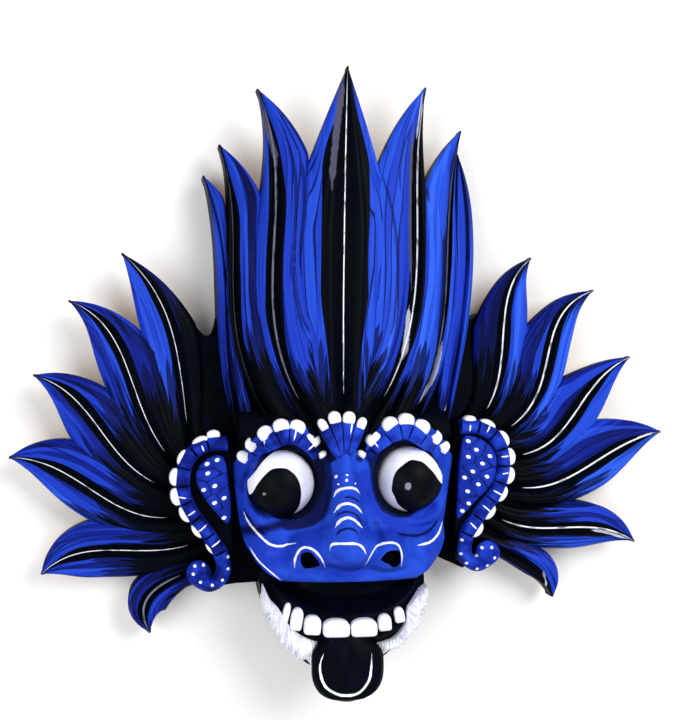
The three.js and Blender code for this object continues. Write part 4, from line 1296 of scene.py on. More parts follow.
def blockSides():
    # what the wings are cut back from: the sides of the block, wider by the seam
    slabs, clear = [], (-1, 200)
    for rows, count in ((faceRows, 60), (jawRows, 40)):
        ys = np.linspace(rows[0][0], rows[-1][0], count)
        right, left = (side * (halfWidthAt(rows, side, ys) + wing["seam"]) for side in (1, -1))
        outline = np.vstack([np.stack([right, ys], -1), np.stack([left, ys], -1)[::-1]])
        slabs.append(prism("slab", outline, *clear, blackPaint))
    tall = groundForm("tall", flat(clear[1]), flat(clear[0]), (-300, -120), (300, 320), 20)
    wider = lambda part: (part[0] + 1.6 * wing["seam"], *part[1:])
    for root, tip, left, right, *rest in crownFlames:
        grown = root, tip, wider(left), wider(right), *rest
        slabs.append(makeFlame(tall, crown["relief"], (6, crown["rowStep"]), *grown))
    bpy.data.objects.remove(tall)
    return slabs


def makeFlames(flames, ground, part):
    steps = part["columnStep"], part["rowStep"]
    return [makeFlame(ground, part["relief"], steps, *shape) for shape in flames]


# Paint: where each brush stroke and dot lies, kept for each corner of the mesh so that edges stay crisp

farOff = 9.0     # in a layer of strokes or dots: none of them is near
# By how far up a face looks (the z of its normal) it is a wall, an underside, or takes brush strokes
facing = {"wall": 0.12, "under": -0.3, "strokes": 0.25, "blackBelow": 45, "sharpAngle": 38}


def readCorners(mesh):
    # for each corner its point and face, for each face its middle and normal
    points = readAll(mesh.vertices, "co", 3)[readAll(mesh.loops, "vertex_index", kind=int)]
    totals = readAll(mesh.polygons, "loop_total", kind=int)
    faceOf = np.repeat(np.arange(len(totals)), totals)
    return points, faceOf, readAll(mesh.polygons, "center", 3), readAll(mesh.polygons, "normal", 3)


def strokeLayer(mesh, name, groups, faceKind):
    # (across / half width, along) of the nearest stroke; a group has kinds of surface and strokes
    points, faceOf, middles, _ = readCorners(mesh)
    values = np.full((len(points), 2), farOff)
    best, nearest = np.full(len(middles), np.inf), np.zeros(len(middles), int)
    curves = []
    for kinds, strokes in groups:
        chosen = np.flatnonzero(np.isin(faceKind, kinds))
        for line, half in strokes:
            curve = curveOf(line, 26 if len(line) > 2 else 2)
            gap = np.hypot(*(middles[chosen, None, :2] - curve[None]).transpose(2, 0, 1)).min(1) - half
            closer = gap < best[chosen]
            best[chosen[closer]], nearest[chosen[closer]] = gap[closer], len(curves)
            curves.append((curve, half))
    for k, (curve, half) in enumerate(curves):
        corner = np.flatnonzero((nearest[faceOf] == k) & (best[faceOf] < 40))
        across, along = alongCurve(curve, points[corner, 0], points[corner, 1])
        values[corner] = np.stack([across / half, along], -1)
    setLayer(mesh, name, values)


def dotLayer(mesh, dots, kinds, faceKind):
    # (offset / radius) from the dot nearest to each face; a dot is x, y, half length, half width, heading
    points, faceOf, middles, _ = readCorners(mesh)
    values = np.full((len(points), 2), farOff)
    if dots:
        table = np.array(dots, float)
        gaps = np.hypot(middles[:, None, 0] - table[:, 0], middles[:, None, 1] - table[:, 1])
        mine = table[gaps.argmin(1)][faceOf]
        offset = points[:, :2] - mine[:, :2]
        c, s = np.cos(np.radians(mine[:, 4])), np.sin(np.radians(mine[:, 4]))
        turned = np.stack([offset[:, 0] * c + offset[:, 1] * s, offset[:, 1] * c - offset[:, 0] * s], -1)
        inKind = np.isin(faceKind, kinds)[faceOf]
        values[inKind] = (turned / mine[:, 2:4])[inKind]
    setLayer(mesh, "dot", values)


def readPaint(mesh):
    # each face's kind of surface, the corners, and the two layers that the solids' paint is in
    corners = readCorners(mesh)
    starts = np.concatenate([[0], np.flatnonzero(np.diff(corners[1])) + 1])
    kinds = np.round(getLayer(mesh, "kind")[starts, 0]).astype(int)
    return kinds, *corners, getLayer(mesh, "strand"), getLayer(mesh, "bands")


def hexColour(text):
    parts = [int(text[k:k + 2], 16) / 255 for k in (1, 3, 5)]
    return (*(p / 12.92 if p <= 0.04045 else ((p + 0.055) / 1.055) ** 2.4 for p in parts), 1)


# dim and light are the greys of the painted sheen on the flames, shade also that of the painted shade on the
# eyes
paints = {
    "black": "#03060d", "navy": "#0b1140", "deep": "#11207e", "royal": "#1d3ab4", "azure": "#2449c6",
    "sky": "#2f5cda", "white": "#f1f2fa", "shade": "#b9bcd4", "grey": "#8b8b9e", "dim": "#4c4b60",
    "light": "#b2b4c8", "wood": "#c79d6b", "woodDark": "#9b7042", "woodPale": "#dcba8c", "floor": "#f3f3f4",
    "floorShade": "#ebebec",
}
colour = {name: hexColour(text) for name, text in paints.items()}
enamel = {
    "ior": 1.45,
    "shine": 0.03,          # specular level: a dull gloss
    "brushDepth": 0.0001,   # of the brush ridges, in metres
    "edge": (0.3, 0.7),     # what the noise spans, so that its patches come out even
    "dotEdge": 0.15,        # share of a dot that is soft
}


def startPaint(name):
    material = bpy.data.materials.new(name)
    material.use_nodes = True
    tree = material.node_tree
    tree.nodes.clear()
    add = partial(addNode, tree)
    return material, add, add("TexCoord").outputs["Object"]


def readLayer(add, layer):
    return add("SeparateXYZ", add("Attribute", attribute_name=layer).outputs["Vector"]).outputs


def patches(add, place, scale, detail, roughness, low, high):
    # soft patches of noise, from low to high
    return add("MapRange", add("TexNoise", place, scale, detail, roughness), *enamel["edge"], low, high)


def layOver(add, painted, *coats):
    # coats of paint over each other, each with what it covers and its colour
    for cover, paint in coats:
        painted = add("Mix:RGBA", cover, painted, colour[paint])
    return painted


def finishPaint(add, place, base, gloss, brush=None, shine=enamel["shine"], brushDepth=enamel["brushDepth"]):
    # enamel over carved wood: a dull gloss, shinier where it pooled, brush and grain just felt under it
    grain = add("TexNoise", place, 160, 3, 0.6)       # 6 mm unevenness of the carving
    fine = add("TexNoise", place, 900, 2, 0.5)        # 1 mm brush ridges and dust
    height = add("+", grain, add("*", fine, 0.35))
    if brush is not None:
        height = add("+", height, brush)
    bump = add("Bump", 0.6, brushDepth, named={"Height": height})
    shader = add("BsdfPrincipled", named={
        "Base Color": base, "Roughness": patches(add, place, 45, 3, 0.55, *gloss), "IOR": enamel["ior"],
        "Specular IOR Level": shine, "Normal": bump,
    })
    add("OutputMaterial", shader)


def strokeCover(add, place, layer, softness=0.22):
    # 1 inside the brush strokes of a layer, which thin out at both ends
    across, along, _ = readLayer(add, layer)
    fromEnd = add("Math:ABSOLUTE", add("-", along, 0.5))
    taper = add("MapRange", fromEnd, 0.3, 0.5, 1, 0.25, interpolation_type="SMOOTHSTEP")
    edge = add("+", taper, patches(add, place, 260, 2, 0.5, -0.18, 0.18))
    gap = add("-", edge, add("Math:ABSOLUTE", across))
    return add("*", add("MapRange", gap, 0, softness, 0, 1), add("Math:LESS_THAN", fromEnd, 0.5))


def dotCover(add):
    x, y, _ = readLayer(add, "dot")
    away = add("VectorMath:LENGTH", add("CombineXYZ", x, y, 0)).outputs["Value"]
    return add("MapRange", away, 1 - enamel["dotEdge"], 1, 1, 0)


def chance(add, x, y, z):
    # a fixed random number for whole numbers x, y and z
    place = add("CombineXYZ", x, y, z)
    return add("TexWhiteNoise", named={"Vector": place}, noise_dimensions="3D").outputs["Value"]


def streaks(add, across, acrossSize, up, upSize, seed, low, high, detail=0):
    # noise drawn out along a flame, sizes in mm
    place = add("CombineXYZ", add("/", across, acrossSize), add("/", up, upSize), seed)
    return patches(add, place, 1, detail, 0.5, low, high)


def flameEnamel(add, place):
    # blue and black enamel, one long brush stroke in each flute, a fine pale line down the groove
    across, up, _ = readLayer(add, "strand")
    band, line, _ = readLayer(add, "bands")
    _, packed, _ = readLayer(add, "kind")
    lobe, v, _ = readLayer(add, "lobe")
    number, tone = add("Math:FLOOR", packed), add("Math:FRACT", packed)
    away, hand = add("Math:ABSOLUTE", across), add("Math:SIGN", across)
    seed = add("Math:MULTIPLY_ADD", hand, 5.5, number)
    # the flutes' strokes, which stray a little, each with its own blue that drifts along the way
    stray = streaks(add, across, 14, up, 90, seed, -0.45, 0.45)
    flute = add("+", add("Math:MULTIPLY_ADD", lobe, flame["flutes"], 0.5), stray)
    own = chance(add, add("Math:MULTIPLY_ADD", hand, 9, add("Math:FLOOR", flute)), number, 1)
    drift = streaks(add, across, 3.5, up, 110, seed, -0.16, 0.16, 1)
    value = add("+", add("+", tone, add("Math:MULTIPLY_ADD", own, 0.56, -0.28)), drift)
    blues = add("ValToRGB", value, stops=[
        (0.0, "navy"), (0.2, "deep"), (0.32, "deep"), (0.42, "royal"), (0.6, "royal"), (0.7, "azure"),
        (0.86, "azure"), (1.0, "sky"),
    ])
    # thin dark lines where two strokes meet, in mm from the meeting
    side = 1 - flame["groove"]
    perFlute = add("*", away, side / flame["flutes"])
    fluteWidth = add("/", perFlute, add("Math:MULTIPLY_ADD", lobe, side, flame["groove"]))
    gap = add("*", add("Math:PINGPONG", flute, 0.5), fluteWidth)
    darkLine = streaks(add, across, 12, up, 120, add("+", seed, 31), -0.3, 0.7)
    painted = layOver(
        add, blues, (add("MapRange", add("-", darkLine, gap), 0, 0.25, 0, 0.9), "navy"),
        (add("*", strokeCover(add, place, "deepStroke", 0.5), 0.68), "navy"),
    )
    # black and navy fingers that run up from the root, each strip with its own reach
    for size, spread, low, paint, cover in ((3.6, 44, 16, "navy", 0.85), (2.6, 32, -3, "black", 1)):
        wander = streaks(add, across, 14, up, 90, add("+", seed, size), -0.7, 0.7)
        strip = add("+", add("/", across, size), wander)
        own = chance(add, add("Math:FLOOR", strip), number, 2)
        reach = add("Math:MULTIPLY_ADD", own, spread, low - spread / 2)
        point = add("*", add("Math:PINGPONG", strip, 0.5), 22)
        under = add("-", add("+", reach, point), up)
        painted = layOver(add, painted, (add("MapRange", under, 0, 2.5, 0, cover), paint))
    # the black band beside the line, with a crisp but hand-drawn edge
    edge = add("+", band, streaks(add, across, 40, up, 45, seed, -0.6, 0.6))
    # the line itself, thin at both ends, broken where the brush ran dry
    thin = add("*", add("MapRange", v, 0.02, 0.14, 0.4, 1), add("MapRange", v, 0.8, 1, 1, 0.5))
    halfLine = add("*", add("Math:ABSOLUTE", line), thin)
    onLine = add("MapRange", add("-", halfLine, away), -0.05, 0.15, 0, 1)
    begun = add("MapRange", v, 0.015, 0.03, 0, 1)
    dry = add("MapRange", streaks(add, across, 1, up, 9, seed, 0, 1), 0.08, 0.2, 0.25, 1)
    onLine = add("*", onLine, add("*", begun, dry))
    # then the black band beside the line, and painted sheen over it: dim and bright grey streaks where the
    # gloss catches the lamp
    painted = layOver(
        add, painted, (add("MapRange", add("-", edge, away), 0, 0.3, 0, 1), "black"),
        (strokeCover(add, place, "darkStroke", 0.3), "dim"),
        (strokeCover(add, place, "whiteStroke", 0.3), "light"),
    )
    lineColour = add("Mix:RGBA", add("Math:LESS_THAN", line, 0), colour["white"], colour["grey"])
    painted = add("Mix:RGBA", onLine, painted, lineColour)
    finishPaint(add, place, painted, (0.34, 0.46), add("*", drift, 1.2))


def faceEnamel(add, place):
    # blue enamel laid on the face in broad strokes with painted light, painted shade in the sockets and
    # folds, black over the brows, fine white lines
    shade, lit, _ = readLayer(add, "strand")
    above, _, _ = readLayer(add, "bands")
    broad = patches(add, place, 42, 2, 0.5, -0.2, 0.2)      # broad strokes, 24 mm
    blues = add("ValToRGB", add("+", lit, broad), stops=[
        (0.0, "navy"), (0.25, "deep"), (0.35, "deep"), (0.45, "royal"), (0.62, "royal"), (0.72, "azure"),
        (0.88, "azure"), (1.0, "sky"),
    ])
    painted = layOver(
        add, blues, (add("MapRange", shade, 0.15, 0.55, 0, 0.95), "navy"),
        (add("MapRange", shade, 0.7, 0.95, 0, 0.8), "black"),
        (add("*", strokeCover(add, place, "darkStroke", 0.5), 0.9), "navy"),
        (strokeCover(add, place, "whiteStroke"), "white"), (dotCover(add), "white"),
        (add("MapRange", above, -0.3, 0.3, 0, 1), "black"),
    )
    finishPaint(add, place, painted, (0.32, 0.44))


def padEnamel(add, place):
    # blue gloss enamel on the pads of brows, tuft and ear rims, each with a fine white stroke;
    # painted light makes them brighter to the right, painted shade darker beside the tuft
    lit, _, _ = readLayer(add, "bands")
    uneven = patches(add, place, 90, 2, 0.5, -0.3, 0.3)       # 11 mm, about a pad
    blues = add("ValToRGB", add("+", lit, uneven), stops=[
        (0.0, "navy"), (0.3, "deep"), (0.6, "royal"), (0.85, "azure"), (1.0, "sky"),
    ])
    painted = layOver(
        add, blues, (strokeCover(add, place, "darkStroke", 0.3), "black"),
        (strokeCover(add, place, "whiteStroke"), "white"), (dotCover(add), "white"),
    )
    finishPaint(add, place, painted, (0.32, 0.44))


def whiteEnamel(add, place):
    # white enamel on teeth, scallops and beard, with a blue-grey wash along the hair
    hairs, up, _ = readLayer(add, "strand")
    hair = streaks(add, hairs, 1.3, up, 30, 0, 0, 1)
    isHair = add("Math:GREATER_THAN", up, 0.5)
    wash = add("*", add("MapRange", hair, 0.5, 0.8, 0, 0.8), isHair)
    stain = add("MapRange", add("TexNoise", place, 110, 3, 0.6), 0.5, 0.75, 0, 0.25)
    painted = layOver(add, colour["white"], (stain, "shade"), (wash, "shade"))
    finishPaint(add, place, painted, (0.34, 0.46))


def eyeEnamel(add, place):
    # white enamel ball with painted shade, greyer towards the nose, a large black pupil and a small painted
    # grey glint
    inPupil, fromGlint, _ = readLayer(add, "dot")
    grey, _, _ = readLayer(add, "bands")
    stain = add("MapRange", add("TexNoise", place, 60, 2, 0.5), 0.35, 0.7, -0.15, 0.15)
    painted = layOver(
        add, colour["white"], (add("MapRange", add("+", grey, stain), 0.4, 1, 0, 0.95), "shade"),
        (add("MapRange", inPupil, -0.15, 0.15, 0, 1), "black"),
        (add("MapRange", fromGlint, 0.85, 1.1, 0.85, 0), "grey"),
    )
    finishPaint(add, place, painted, (0.42, 0.5), shine=0.06, brushDepth=0.00005)


def lobeEnamel(add, place):
    # deep blue gloss enamel on the ear's scales, dark between them, a white dot on each
    blues = add("ValToRGB", patches(add, place, 80, 2, 0.5, 0.1, 0.8), stops=[(0.0, "deep"), (1.0, "royal")])
    between, _, _ = readLayer(add, "strand")
    seams = add("MapRange", between, 0.25, 0.75, 0.85, 0)
    painted = layOver(add, blues, (seams, "navy"), (dotCover(add), "white"))
    finishPaint(add, place, painted, (0.32, 0.44))


def blackEnamel(add, place):
    # black gloss enamel in the mouth, round the ears and on the sides
    thin = add("MapRange", add("TexNoise", place, 50, 3, 0.6), 0.5, 0.75, 0, 0.2)
    strokes = strokeCover(add, place, "whiteStroke")
    painted = layOver(add, colour["black"], (thin, "navy"), (strokes, "white"))
    finishPaint(add, place, painted, (0.36, 0.5))


def carvedWood(add, place):
    # bare light wood behind, left from the gouge: dry, pale, with open grain along the mask
    drawnOut = [add("Mapping", place, (0, 0, 0), (0, 0, 0), size) for size in ((420, 22, 420), (60, 5, 60))]
    grain = add("TexNoise", drawnOut[0], 1, 4, 0.6)      # 2.4 mm wide, 45 mm long
    broad = add("TexNoise", drawnOut[1], 1, 2, 0.5)
    value = add("Math:MULTIPLY_ADD", grain, 0.6, add("*", broad, 0.4))
    painted = add("ValToRGB", value, stops=[(0.36, "woodDark"), (0.5, "wood"), (0.66, "woodPale")])
    bump = add("Bump", 0.7, 0.0003, named={"Height": grain})
    dull = add("MapRange", grain, *enamel["edge"], 0.62, 0.82)
    shader = add("BsdfPrincipled", named={
        "Base Color": painted, "Roughness": dull, "IOR": enamel["ior"], "Normal": bump,
    })
    add("OutputMaterial", shader)


# Strokes, dots and washes, as points in mm

padStrokes = [
    [[-53.6, 1.6], [-54.1, -1.2]], [[-40.7, 0], [-43.1, -9]], [[-23.4, -11], [-31.9, -17.4]],
    [[-66.3, -3.8], [-64.5, -13.2]], [[86.4, -23], [76.9, -30.7]], [[19.1, -9.8], [22.9, -15.6]],
    [[2.1, 5.1], [0.6, -3.6]],
]
rimStrokes = {
    -1: [[[-112.1, -15], [-110.2, -19.6]], [[-130.8, -55.4], [-123.9, -56.4]],
         [[-122.9, -70.3], [-117, -66.4]], [[-115, -83.5], [-108.2, -77.5]],
         [[-104.6, -95.3], [-97.2, -89.9]]],
    1: [[[103.5, 0], [103.1, -5.6]], [[120.4, -0.2], [116.8, -6.6]], [[128.7, -26.2], [135.4, -25.7]],
        [[129.7, -40.1], [135, -39.2]], [[122.1, -53], [132.7, -58.9]], [[113.7, -65], [120.6, -70.8]],
        [[103.3, -78.8], [108.8, -84.4]]],
}
noseDots = [[-10.3, -37.7, 1.6, 0.9, 60], [-2.7, -35.9, 1.1, 0.7, 0], [-2.9, -40, 1.3, 1.3, 0],
            [-8.9, -43.4, 0.8, 0.8, 0], [4.7, -43.1, 0.8, 0.8, 0], [-18.5, -21.2, 2.4, 1.5, -35]]
tongueLine = [[-18.9, -175], [-22, -183], [-21.4, -192], [-17.3, -201], [-9.4, -206.5], [-1.7, -208],
              [7.6, -206.8], [13.6, -201], [17.2, -193], [18.5, -176]]
# painted sheen on the flames, grey streaks where the gloss catches the lamp, each with its half width: dim
# ones, then bright ones
dimPaintedSheen = [
    ([[-65.9, 253], [-60.3, 233.7], [-55.1, 215.3], [-53.3, 204.2]], 2.6),
    ([[-0.5, 276.7], [-7, 232], [-10.4, 200.5], [-11.7, 183.8]], 3),
    ([[57, 246.5], [54.2, 218.4], [52.3, 177.3], [51.7, 147.5], [52.9, 106.4]], 1.5),
]
brightPaintedSheen = [
    ([[-68.6, 261.5], [-66.6, 254.5], [-65, 248.5]], 1.1), ([[50.6, 95], [48.3, 69], [44.6, 52.3]], 2.6),
    ([[64.9, 266.5], [62, 247.7], [59.1, 228.8]], 0.9),
    ([[80.5, 67.2], [73.3, 41.1], [65.7, 28.1], [59.1, 17]], 1.5), ([[86.4, 17.3], [77.2, -4]], 0.8),
    ([[212, -90], [225.8, -92.1], [243.6, -97.6]], 1.2),
    ([[250.6, -14.1], [259.5, -10.4], [267.1, -8.5]], 1),
    ([[173, -142.1], [174, -132.6], [172, -123.1]], 1),
]
# broad dark blue strokes on the crown, each with its half width
deepStrokes = [
    ([[-52.7, 233.5], [-45.3, 222.6], [-41, 206], [-39, 187.5], [-39.9, 157.9], [-41.4, 124.5],
      [-40.1, 102.3], [-35.3, 78.3], [-25.6, 56]], 2),
    ([[-36.4, 213.5], [-33, 198.7], [-32.3, 176.5], [-34.9, 146.8], [-37.1, 124.6]], 2.2),
    ([[-83.3, 203.9], [-78.3, 187.4], [-73.5, 165.2], [-71.7, 139.3], [-72.8, 111.6], [-71.9, 87.5],
      [-68.3, 65.3]], 3),
    ([[26.2, 207], [32, 188.4], [37.3, 166.1], [40, 140], [40.3, 117.6], [38.4, 93.4], [35.8, 76.6],
      [29, 59.8]], 1.7),
    ([[43, 242.2], [34, 226.1], [31.2, 214.8]], 2.4),
    ([[56.5, 243.1], [47.9, 222.3], [43.7, 199.8], [44.5, 181.2]], 1), ([[66.4, 191.1], [69.2, 178]], 2),
]
# painted shade on the face: points, half width, strength
shadeStrokes = [
    ([[-20, -22], [-19, -42], [-21, -58], [-27, -69], [-40, -73]], 8, 0.75),
    ([[-23, -24], [-20.5, -32], [-20.5, -42], [-22, -50]], 4, 1),
    ([[18, -22], [21, -34], [23, -48], [29, -62]], 5, 0.6), ([[22, -74], [26, -86]], 4, 0.3),
    ([[-18, -18], [-13, -26]], 5, 0.9), ([[12, -18], [8, -26]], 4, 0.5),
    ([[-16, -105], [0, -107.6], [14, -107.4], [28, -110], [42, -109]], 3.2, 0.34),
]
# how wide the painted shade round an eye is, by degrees from outward over the top to the nose
socketShade = [[0, 25, 55, 90, 135, 180, 225, 270, 300, 360], [-4, 0, 3, 5, 9, 6, 6, 2, -4, -4]]
# painted light and shade: how bright the blues of the block are, what each part of it adds, the eyes'
# grey and the two ears' pads; brighter to the right and on what stands forward, darker beside the tuft
tones = {
    "face": 0.6, "nose": 0.12, "chin": 0.06, "pads": 0.6, "besideTuft": 0.35, "eyes": 0.45, -1: 0.34,
    1: 0.5,
}


def browCuts():
    # the dark lines between the pads over the eyes and between the leaves of the tuft
    lines = []
    for side in (-1, 1):
        count = len(brow[side]["scallops"])
        for v in (np.arange(count - 1) + 0.5) / (count - 1):
            inner = brow["scallopLength"] / 2 + 2 * float(browBand(side, v)) - 1.6
            lines.append([browCurve(side, v, inset)[0] for inset in (brow["scallopLength"] / 2 - 1, inner)])
    base, headings = np.array([tuft["x"], tuft["y"]]), np.array(tuft["headings"])
    between = (headings[1:] + headings[:-1]) / 2
    return lines + [[base + 9 * polar(turn), base + 33 * polar(turn)] for turn in between]


def insideOf(outline, x, y):
    # how far inside a closed outline a point lies, in mm
    outline = counterClockwise(closedCurve(outline, 72))
    across, _ = alongCurve(np.vstack([outline, outline[:1]]), x, y)
    nearest = np.hypot(x[..., None] - outline[:, 0], y[..., None] - outline[:, 1]).min(-1)
    return np.where(np.abs(across) > nearest, np.sign(across) * nearest, across)


def faceShade(x, y):
    # painted shade: dark round the eyes, wide above and beside the nose, none below their outer corners
    shade = np.zeros_like(x)
    for side in (-1, 1):
        dx, dy = side * (x - eye["places"][side][0]), y - eye["places"][side][1]
        around = np.degrees(np.arctan2(dy, dx)) % 360
        width = np.interp(around, *socketShade)
        outside = np.maximum(0, -insideOf(openings[side], x, y))
        shade = np.maximum(shade, 1 - smoothStep(-2.5, 2.5, outside - width))
    for points, half, strength in shadeStrokes:
        across, along = alongCurve(curveOf(points), x, y)
        ends = np.maximum(0, np.abs(along - 0.5) - 0.5) * 30
        shade = np.maximum(shade, strength * (1 - smoothStep(0.5, 1.1, np.hypot(across, ends) / half)))
    return shade


def paintBlock(mesh):
    kinds, points, faceOf, middles, normals, strand, bands = readPaint(mesh)
    for side in (-1, 1):
        x, y = middles[:, 0], middles[:, 1]
        hidden = (kinds == eyePaint) & (np.sign(x) == side)
        hidden[hidden] = insideOf(openings[side], x[hidden], y[hidden]) < -1
        kinds[hidden] = facePaint
    x, y = points[:, 0], points[:, 1]
    onFace, onPads, onEyes = ((kinds == kind)[faceOf] for kind in (facePaint, padPaint, eyePaint))
    # painted light: brighter to the right, towards the key lamp, and on what stands forward
    onNose = bell(x[onFace] + 3, 12) * smoothStep(-100, -80, y[onFace])
    onChin = smoothStep(-60, -90, y[onFace])
    lit = tones["face"] + 0.0004 * x[onFace] + tones["nose"] * onNose + tones["chin"] * onChin
    strand[onFace] = np.stack([faceShade(x[onFace], y[onFace]), lit], -1)
    bands[onFace, 0] = aboveBrow(x[onFace], y[onFace])
    # painted light and shade on the pads: brighter to the right, darker beside the tuft
    besideTuft = bell(np.abs(x[onPads] + 3) - 20, 8)
    bands[onPads, 0] = tones["pads"] + 0.0025 * x[onPads] - tones["besideTuft"] * besideTuft
    # the eyes: how far inside the pupil, how far from the painted glint, and painted shade, greyer towards
    # the nose and below
    spots = np.full((len(points), 2), farOff)
    for side in (-1, 1):
        mine = onEyes & (np.sign(x) == side)
        ex, ey = x[mine], y[mine]
        gx, gy, halfX, halfY = glints[side]
        fromGlint = np.hypot((ex - gx) / halfX, (ey - gy) / halfY)
        spots[mine] = np.stack([insideOf(pupils[side], ex, ey), fromGlint], -1)
        middleX, middleY = eye["places"][side]
        bands[mine, 0] = tones["eyes"] - 0.02 * side * (ex - middleX) - 0.012 * (ey - middleY)
    setLayer(mesh, "strand", strand)
    setLayer(mesh, "bands", bands)
    # strokes lie on what faces up, and the black one on the tongue alone
    besideTongue = (kinds == blackPaint) & (middles[:, 2] < 72)
    lined = np.where((normals[:, 2] < facing["strokes"]) | besideTongue, -1, kinds)
    fine = lambda lines, half: [(line, half) for line in lines]
    onSkin, creased = (
        [stroke for name, lines in strokes.items() for stroke in fine(lines, strokeHalfWidths[name])]
        for strokes in (whiteStrokes, foldShadeStrokes)
    )
    strokeLayer(mesh, "whiteStroke", [
        ([facePaint], onSkin), ([padPaint], fine(padStrokes, 0.6)), ([blackPaint], [(tongueLine, 1.1)]),
        ([flamePaint], brightPaintedSheen),
    ], lined)
    strokeLayer(mesh, "darkStroke", [
        ([facePaint], creased), ([flamePaint], dimPaintedSheen), ([padPaint], fine(browCuts(), 0.5)),
    ], lined)
    strokeLayer(mesh, "deepStroke", [([flamePaint], deepStrokes)], lined)
    dotLayer(mesh, noseDots, [facePaint], kinds)
    dots = getLayer(mesh, "dot")
    dots[onEyes] = spots[onEyes]
    setLayer(mesh, "dot", dots)
    return kinds, middles, normals


def paintWing(mesh, side):
    kinds, points, faceOf, middles, normals, strand, bands = readPaint(mesh)
    dots = np.array(lobeDots[side])
    away = np.sort(np.hypot(points[:, None, 0] - dots[:, 0], points[:, None, 1] - dots[:, 1]), -1)
    onLobe, onPads = ((kinds == kind)[faceOf] for kind in (lobePaint, padPaint))
    strand[onLobe, 0] = ((away[:, 1] - away[:, 0]) / 2)[onLobe]
    # painted light: the right ear's pads brighter than the left's
    bands[onPads, 0] = tones[side]
    lined = np.where(normals[:, 2] < facing["strokes"], -1, kinds)
    setLayer(mesh, "strand", strand)
    setLayer(mesh, "bands", bands)
    strokeLayer(mesh, "whiteStroke", [
        ([padPaint], [(line, 0.6) for line in rimStrokes[side]]),
        ([flamePaint], brightPaintedSheen if side > 0 else []),
    ], lined)
    strokeLayer(mesh, "darkStroke", [([padPaint], [(line, 0.85) for line in rimCuts(side)])], lined)
    strokeLayer(mesh, "deepStroke", [], lined)
    spots = [[x, y, 2.1, 1.5, -25 * side] for x, y in lobeDots[side]]
    spots += [[x, y, 1.3, 1.3, 0] for x, y in curlDots[side]]
    dotLayer(mesh, spots, [lobePaint, padPaint], kinds)
    return kinds, middles, normals


def freeMaps(mesh):
    # the joins keep paint in UV maps only; as plain attributes it leaves those free for the model's own
    for name in mesh.uv_layers.keys():
        values = getLayer(mesh, name)
        mesh.uv_layers.remove(mesh.uv_layers[name])
        paint = np.column_stack([values, np.zeros(len(values))])
        setAttribute(mesh, name, "FLOAT_VECTOR", "vector", paint, "CORNER")


def finishPiece(name, mesh, kinds, middles, normals, slot):
    # paints by kind: walls black, undersides bare wood
    kinds = kinds.copy()
    walls = np.abs(normals[:, 2]) < facing["wall"]
    kinds[walls & (kinds == flamePaint)] = blackPaint
    low = np.isin(kinds, [facePaint, padPaint]) & (middles[:, 2] < facing["blackBelow"])
    kinds[walls & low] = blackPaint
    kinds[(normals[:, 2] < facing["under"]) & (kinds != bareWood)] = bareWood
    freeMaps(mesh)
    mesh.materials.clear()
    for material in materials:
        mesh.materials.append(material)
    mesh.polygons.foreach_set("material_index", kinds.astype(np.int32))
    mesh.polygons.foreach_set("use_smooth", np.ones(len(kinds), bool))
    mesh.transform(Matrix.Scale(millimetre, 4))
    mesh.set_sharp_from_angle(angle=math.radians(facing["sharpAngle"]))
    mesh.update()
    piece = shownObject(name, mesh)
    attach(piece, "root")
    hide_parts(slot.replace("painted_", ""))
    return piece


materials = []     # in the order of the kinds of surface
for name, paint in (
    ("black_enamel", blackEnamel), ("brushed_flame_enamel", flameEnamel), ("face_enamel", faceEnamel),
    ("white_enamel", whiteEnamel), ("eye_enamel", eyeEnamel), ("pad_enamel", padEnamel),
    ("scale_enamel", lobeEnamel), ("bare_carved_wood", carvedWood),
):
    material, add, place = startPaint(name)
    paint(add, place)
    materials.append(material)
flameTree = makeFlameTree()
petalTree = makePetalTree()

crownGround = groundForm("crownGround", crownFront, flat(0), (-160, -60), (160, 310))
blockParts = [blockSolid("upper", faceRows, faceFront, face["step"], facePaint)]
blockParts.append(blockSolid("jaw", jawRows, jawFront, 1.6, blackPaint))
blockParts += makeFlames(crownFlames, crownGround, crown)
for side in (-1, 1):
    blockParts += [eyeball(side), *lidSolids(side), *browSolids(side), beardSolid(side)]
blockParts += [*tuftSolids(), *toothSolids(), tongueSolid()]
blockMesh = joinSolids("face_and_crown", blockParts, [crownHollow(), faceHollowCutter(), *nostrilCutters()])
bpy.data.objects.remove(crownGround)
finishPiece("carved_face_and_crown", blockMesh, *paintBlock(blockMesh), "painted_face_and_crown")
print("carved the block:", len(blockMesh.polygons), "faces")

sides = blockSides()
for side, flames, word in ((-1, leftFlames, "left"), (1, rightFlames, "right")):
    front, back = partial(wingFront, side), partial(wingBack, side)
    ground = groundForm("wingGround", front, back, (-320, -220), (320, 220))
    wingParts = [prism("board", boards[side], 0, wing["frontZ"] - 1, blackPaint)]
    wingParts += makeFlames(flames, ground, wing) + earSolids(side)
    wingMesh = joinSolids(word + "_wing", wingParts, sides)
    bpy.data.objects.remove(ground)
    finishPiece(f"carved_{word}_wing", wingMesh, *paintWing(wingMesh, side), f"painted_{word}_wing")
    print("carved the", word, "wing:", len(wingMesh.polygons), "faces")

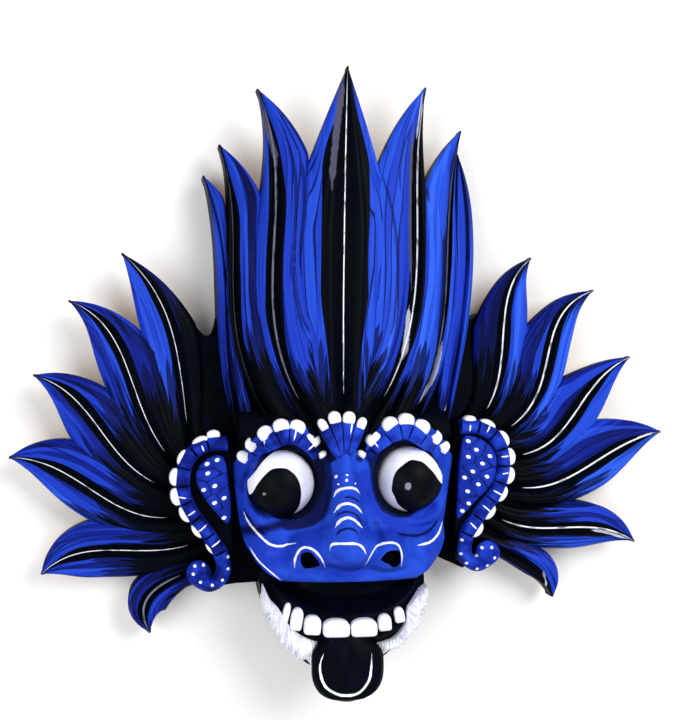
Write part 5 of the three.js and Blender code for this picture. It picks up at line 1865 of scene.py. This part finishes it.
# A pale table, soft light from the right and above, and the camera over the mask
stage = {
    "floorHalf": 3.0, "world": "#ffffff", "worldStrength": 0.32, "lampAim": (0, 0.03, 0.03),
    "lamps": [("key", (0.95, 0.75, 1.5), 1.2, 31), ("fill", (-1.15, -0.1, 1.4), 1.4, 18),
              ("low", (0.2, -1.3, 1.3), 1.4, 9)],
}
camera = {"turn": 7.5, "distance": 1100, "aim": (-4, 52, 50), "lens": 68.75, "sensor": 36, "clipEnd": 20}


def makeFloor():
    half = stage["floorHalf"]
    mesh = bpy.data.meshes.new("floor")
    corners = [(-half, -half, 0), (half, -half, 0), (half, half, 0), (-half, half, 0)]
    mesh.from_pydata(corners, [], [(0, 1, 2, 3)])
    material, add, place = startPaint("pale_table")
    tint = layOver(add, colour["floor"], (patches(add, place, 30, 2, 0.5, 0, 0.2), "floorShade"))
    shader = add("BsdfPrincipled", named={"Base Color": tint, "Roughness": 0.9})
    add("OutputMaterial", shader)
    mesh.materials.append(material)
    shownObject("floor", mesh)


def makeLight(name, place, size, power):
    light = bpy.data.lights.new(name, "AREA")
    light.shape, light.size, light.energy = "SQUARE", size, power
    lamp = bpy.data.objects.new(name, light)
    lamp.location = place
    lamp.rotation_euler = (Vector(stage["lampAim"]) - Vector(place)).to_track_quat("-Z", "Y").to_euler()
    bpy.context.scene.collection.objects.link(lamp)


def makeWorld():
    world = bpy.data.worlds.new("studio")
    world.use_nodes = True
    backdrop = world.node_tree.nodes["Background"]
    backdrop.inputs["Color"].default_value = hexColour(stage["world"])
    backdrop.inputs["Strength"].default_value = stage["worldStrength"]
    bpy.context.scene.world = world


def makeCamera():
    turn = math.radians(camera["turn"])
    lens = bpy.data.cameras.new("camera")
    lens.lens, lens.sensor_width, lens.clip_end = camera["lens"], camera["sensor"], camera["clipEnd"]
    eyePoint = bpy.data.objects.new("camera", lens)
    away = Vector((-math.sin(turn), 0, math.cos(turn))) * camera["distance"]
    eyePoint.location = (Vector(camera["aim"]) + away) * millimetre
    eyePoint.rotation_euler = (0, -turn, 0)
    bpy.context.scene.collection.objects.link(eyePoint)
    bpy.context.scene.camera = eyePoint


makeFloor()
for lamp in stage["lamps"]:
    makeLight(*lamp)
makeWorld()
makeCamera()
bpy.context.scene.view_settings.view_transform = "Standard"
print("set the stage")
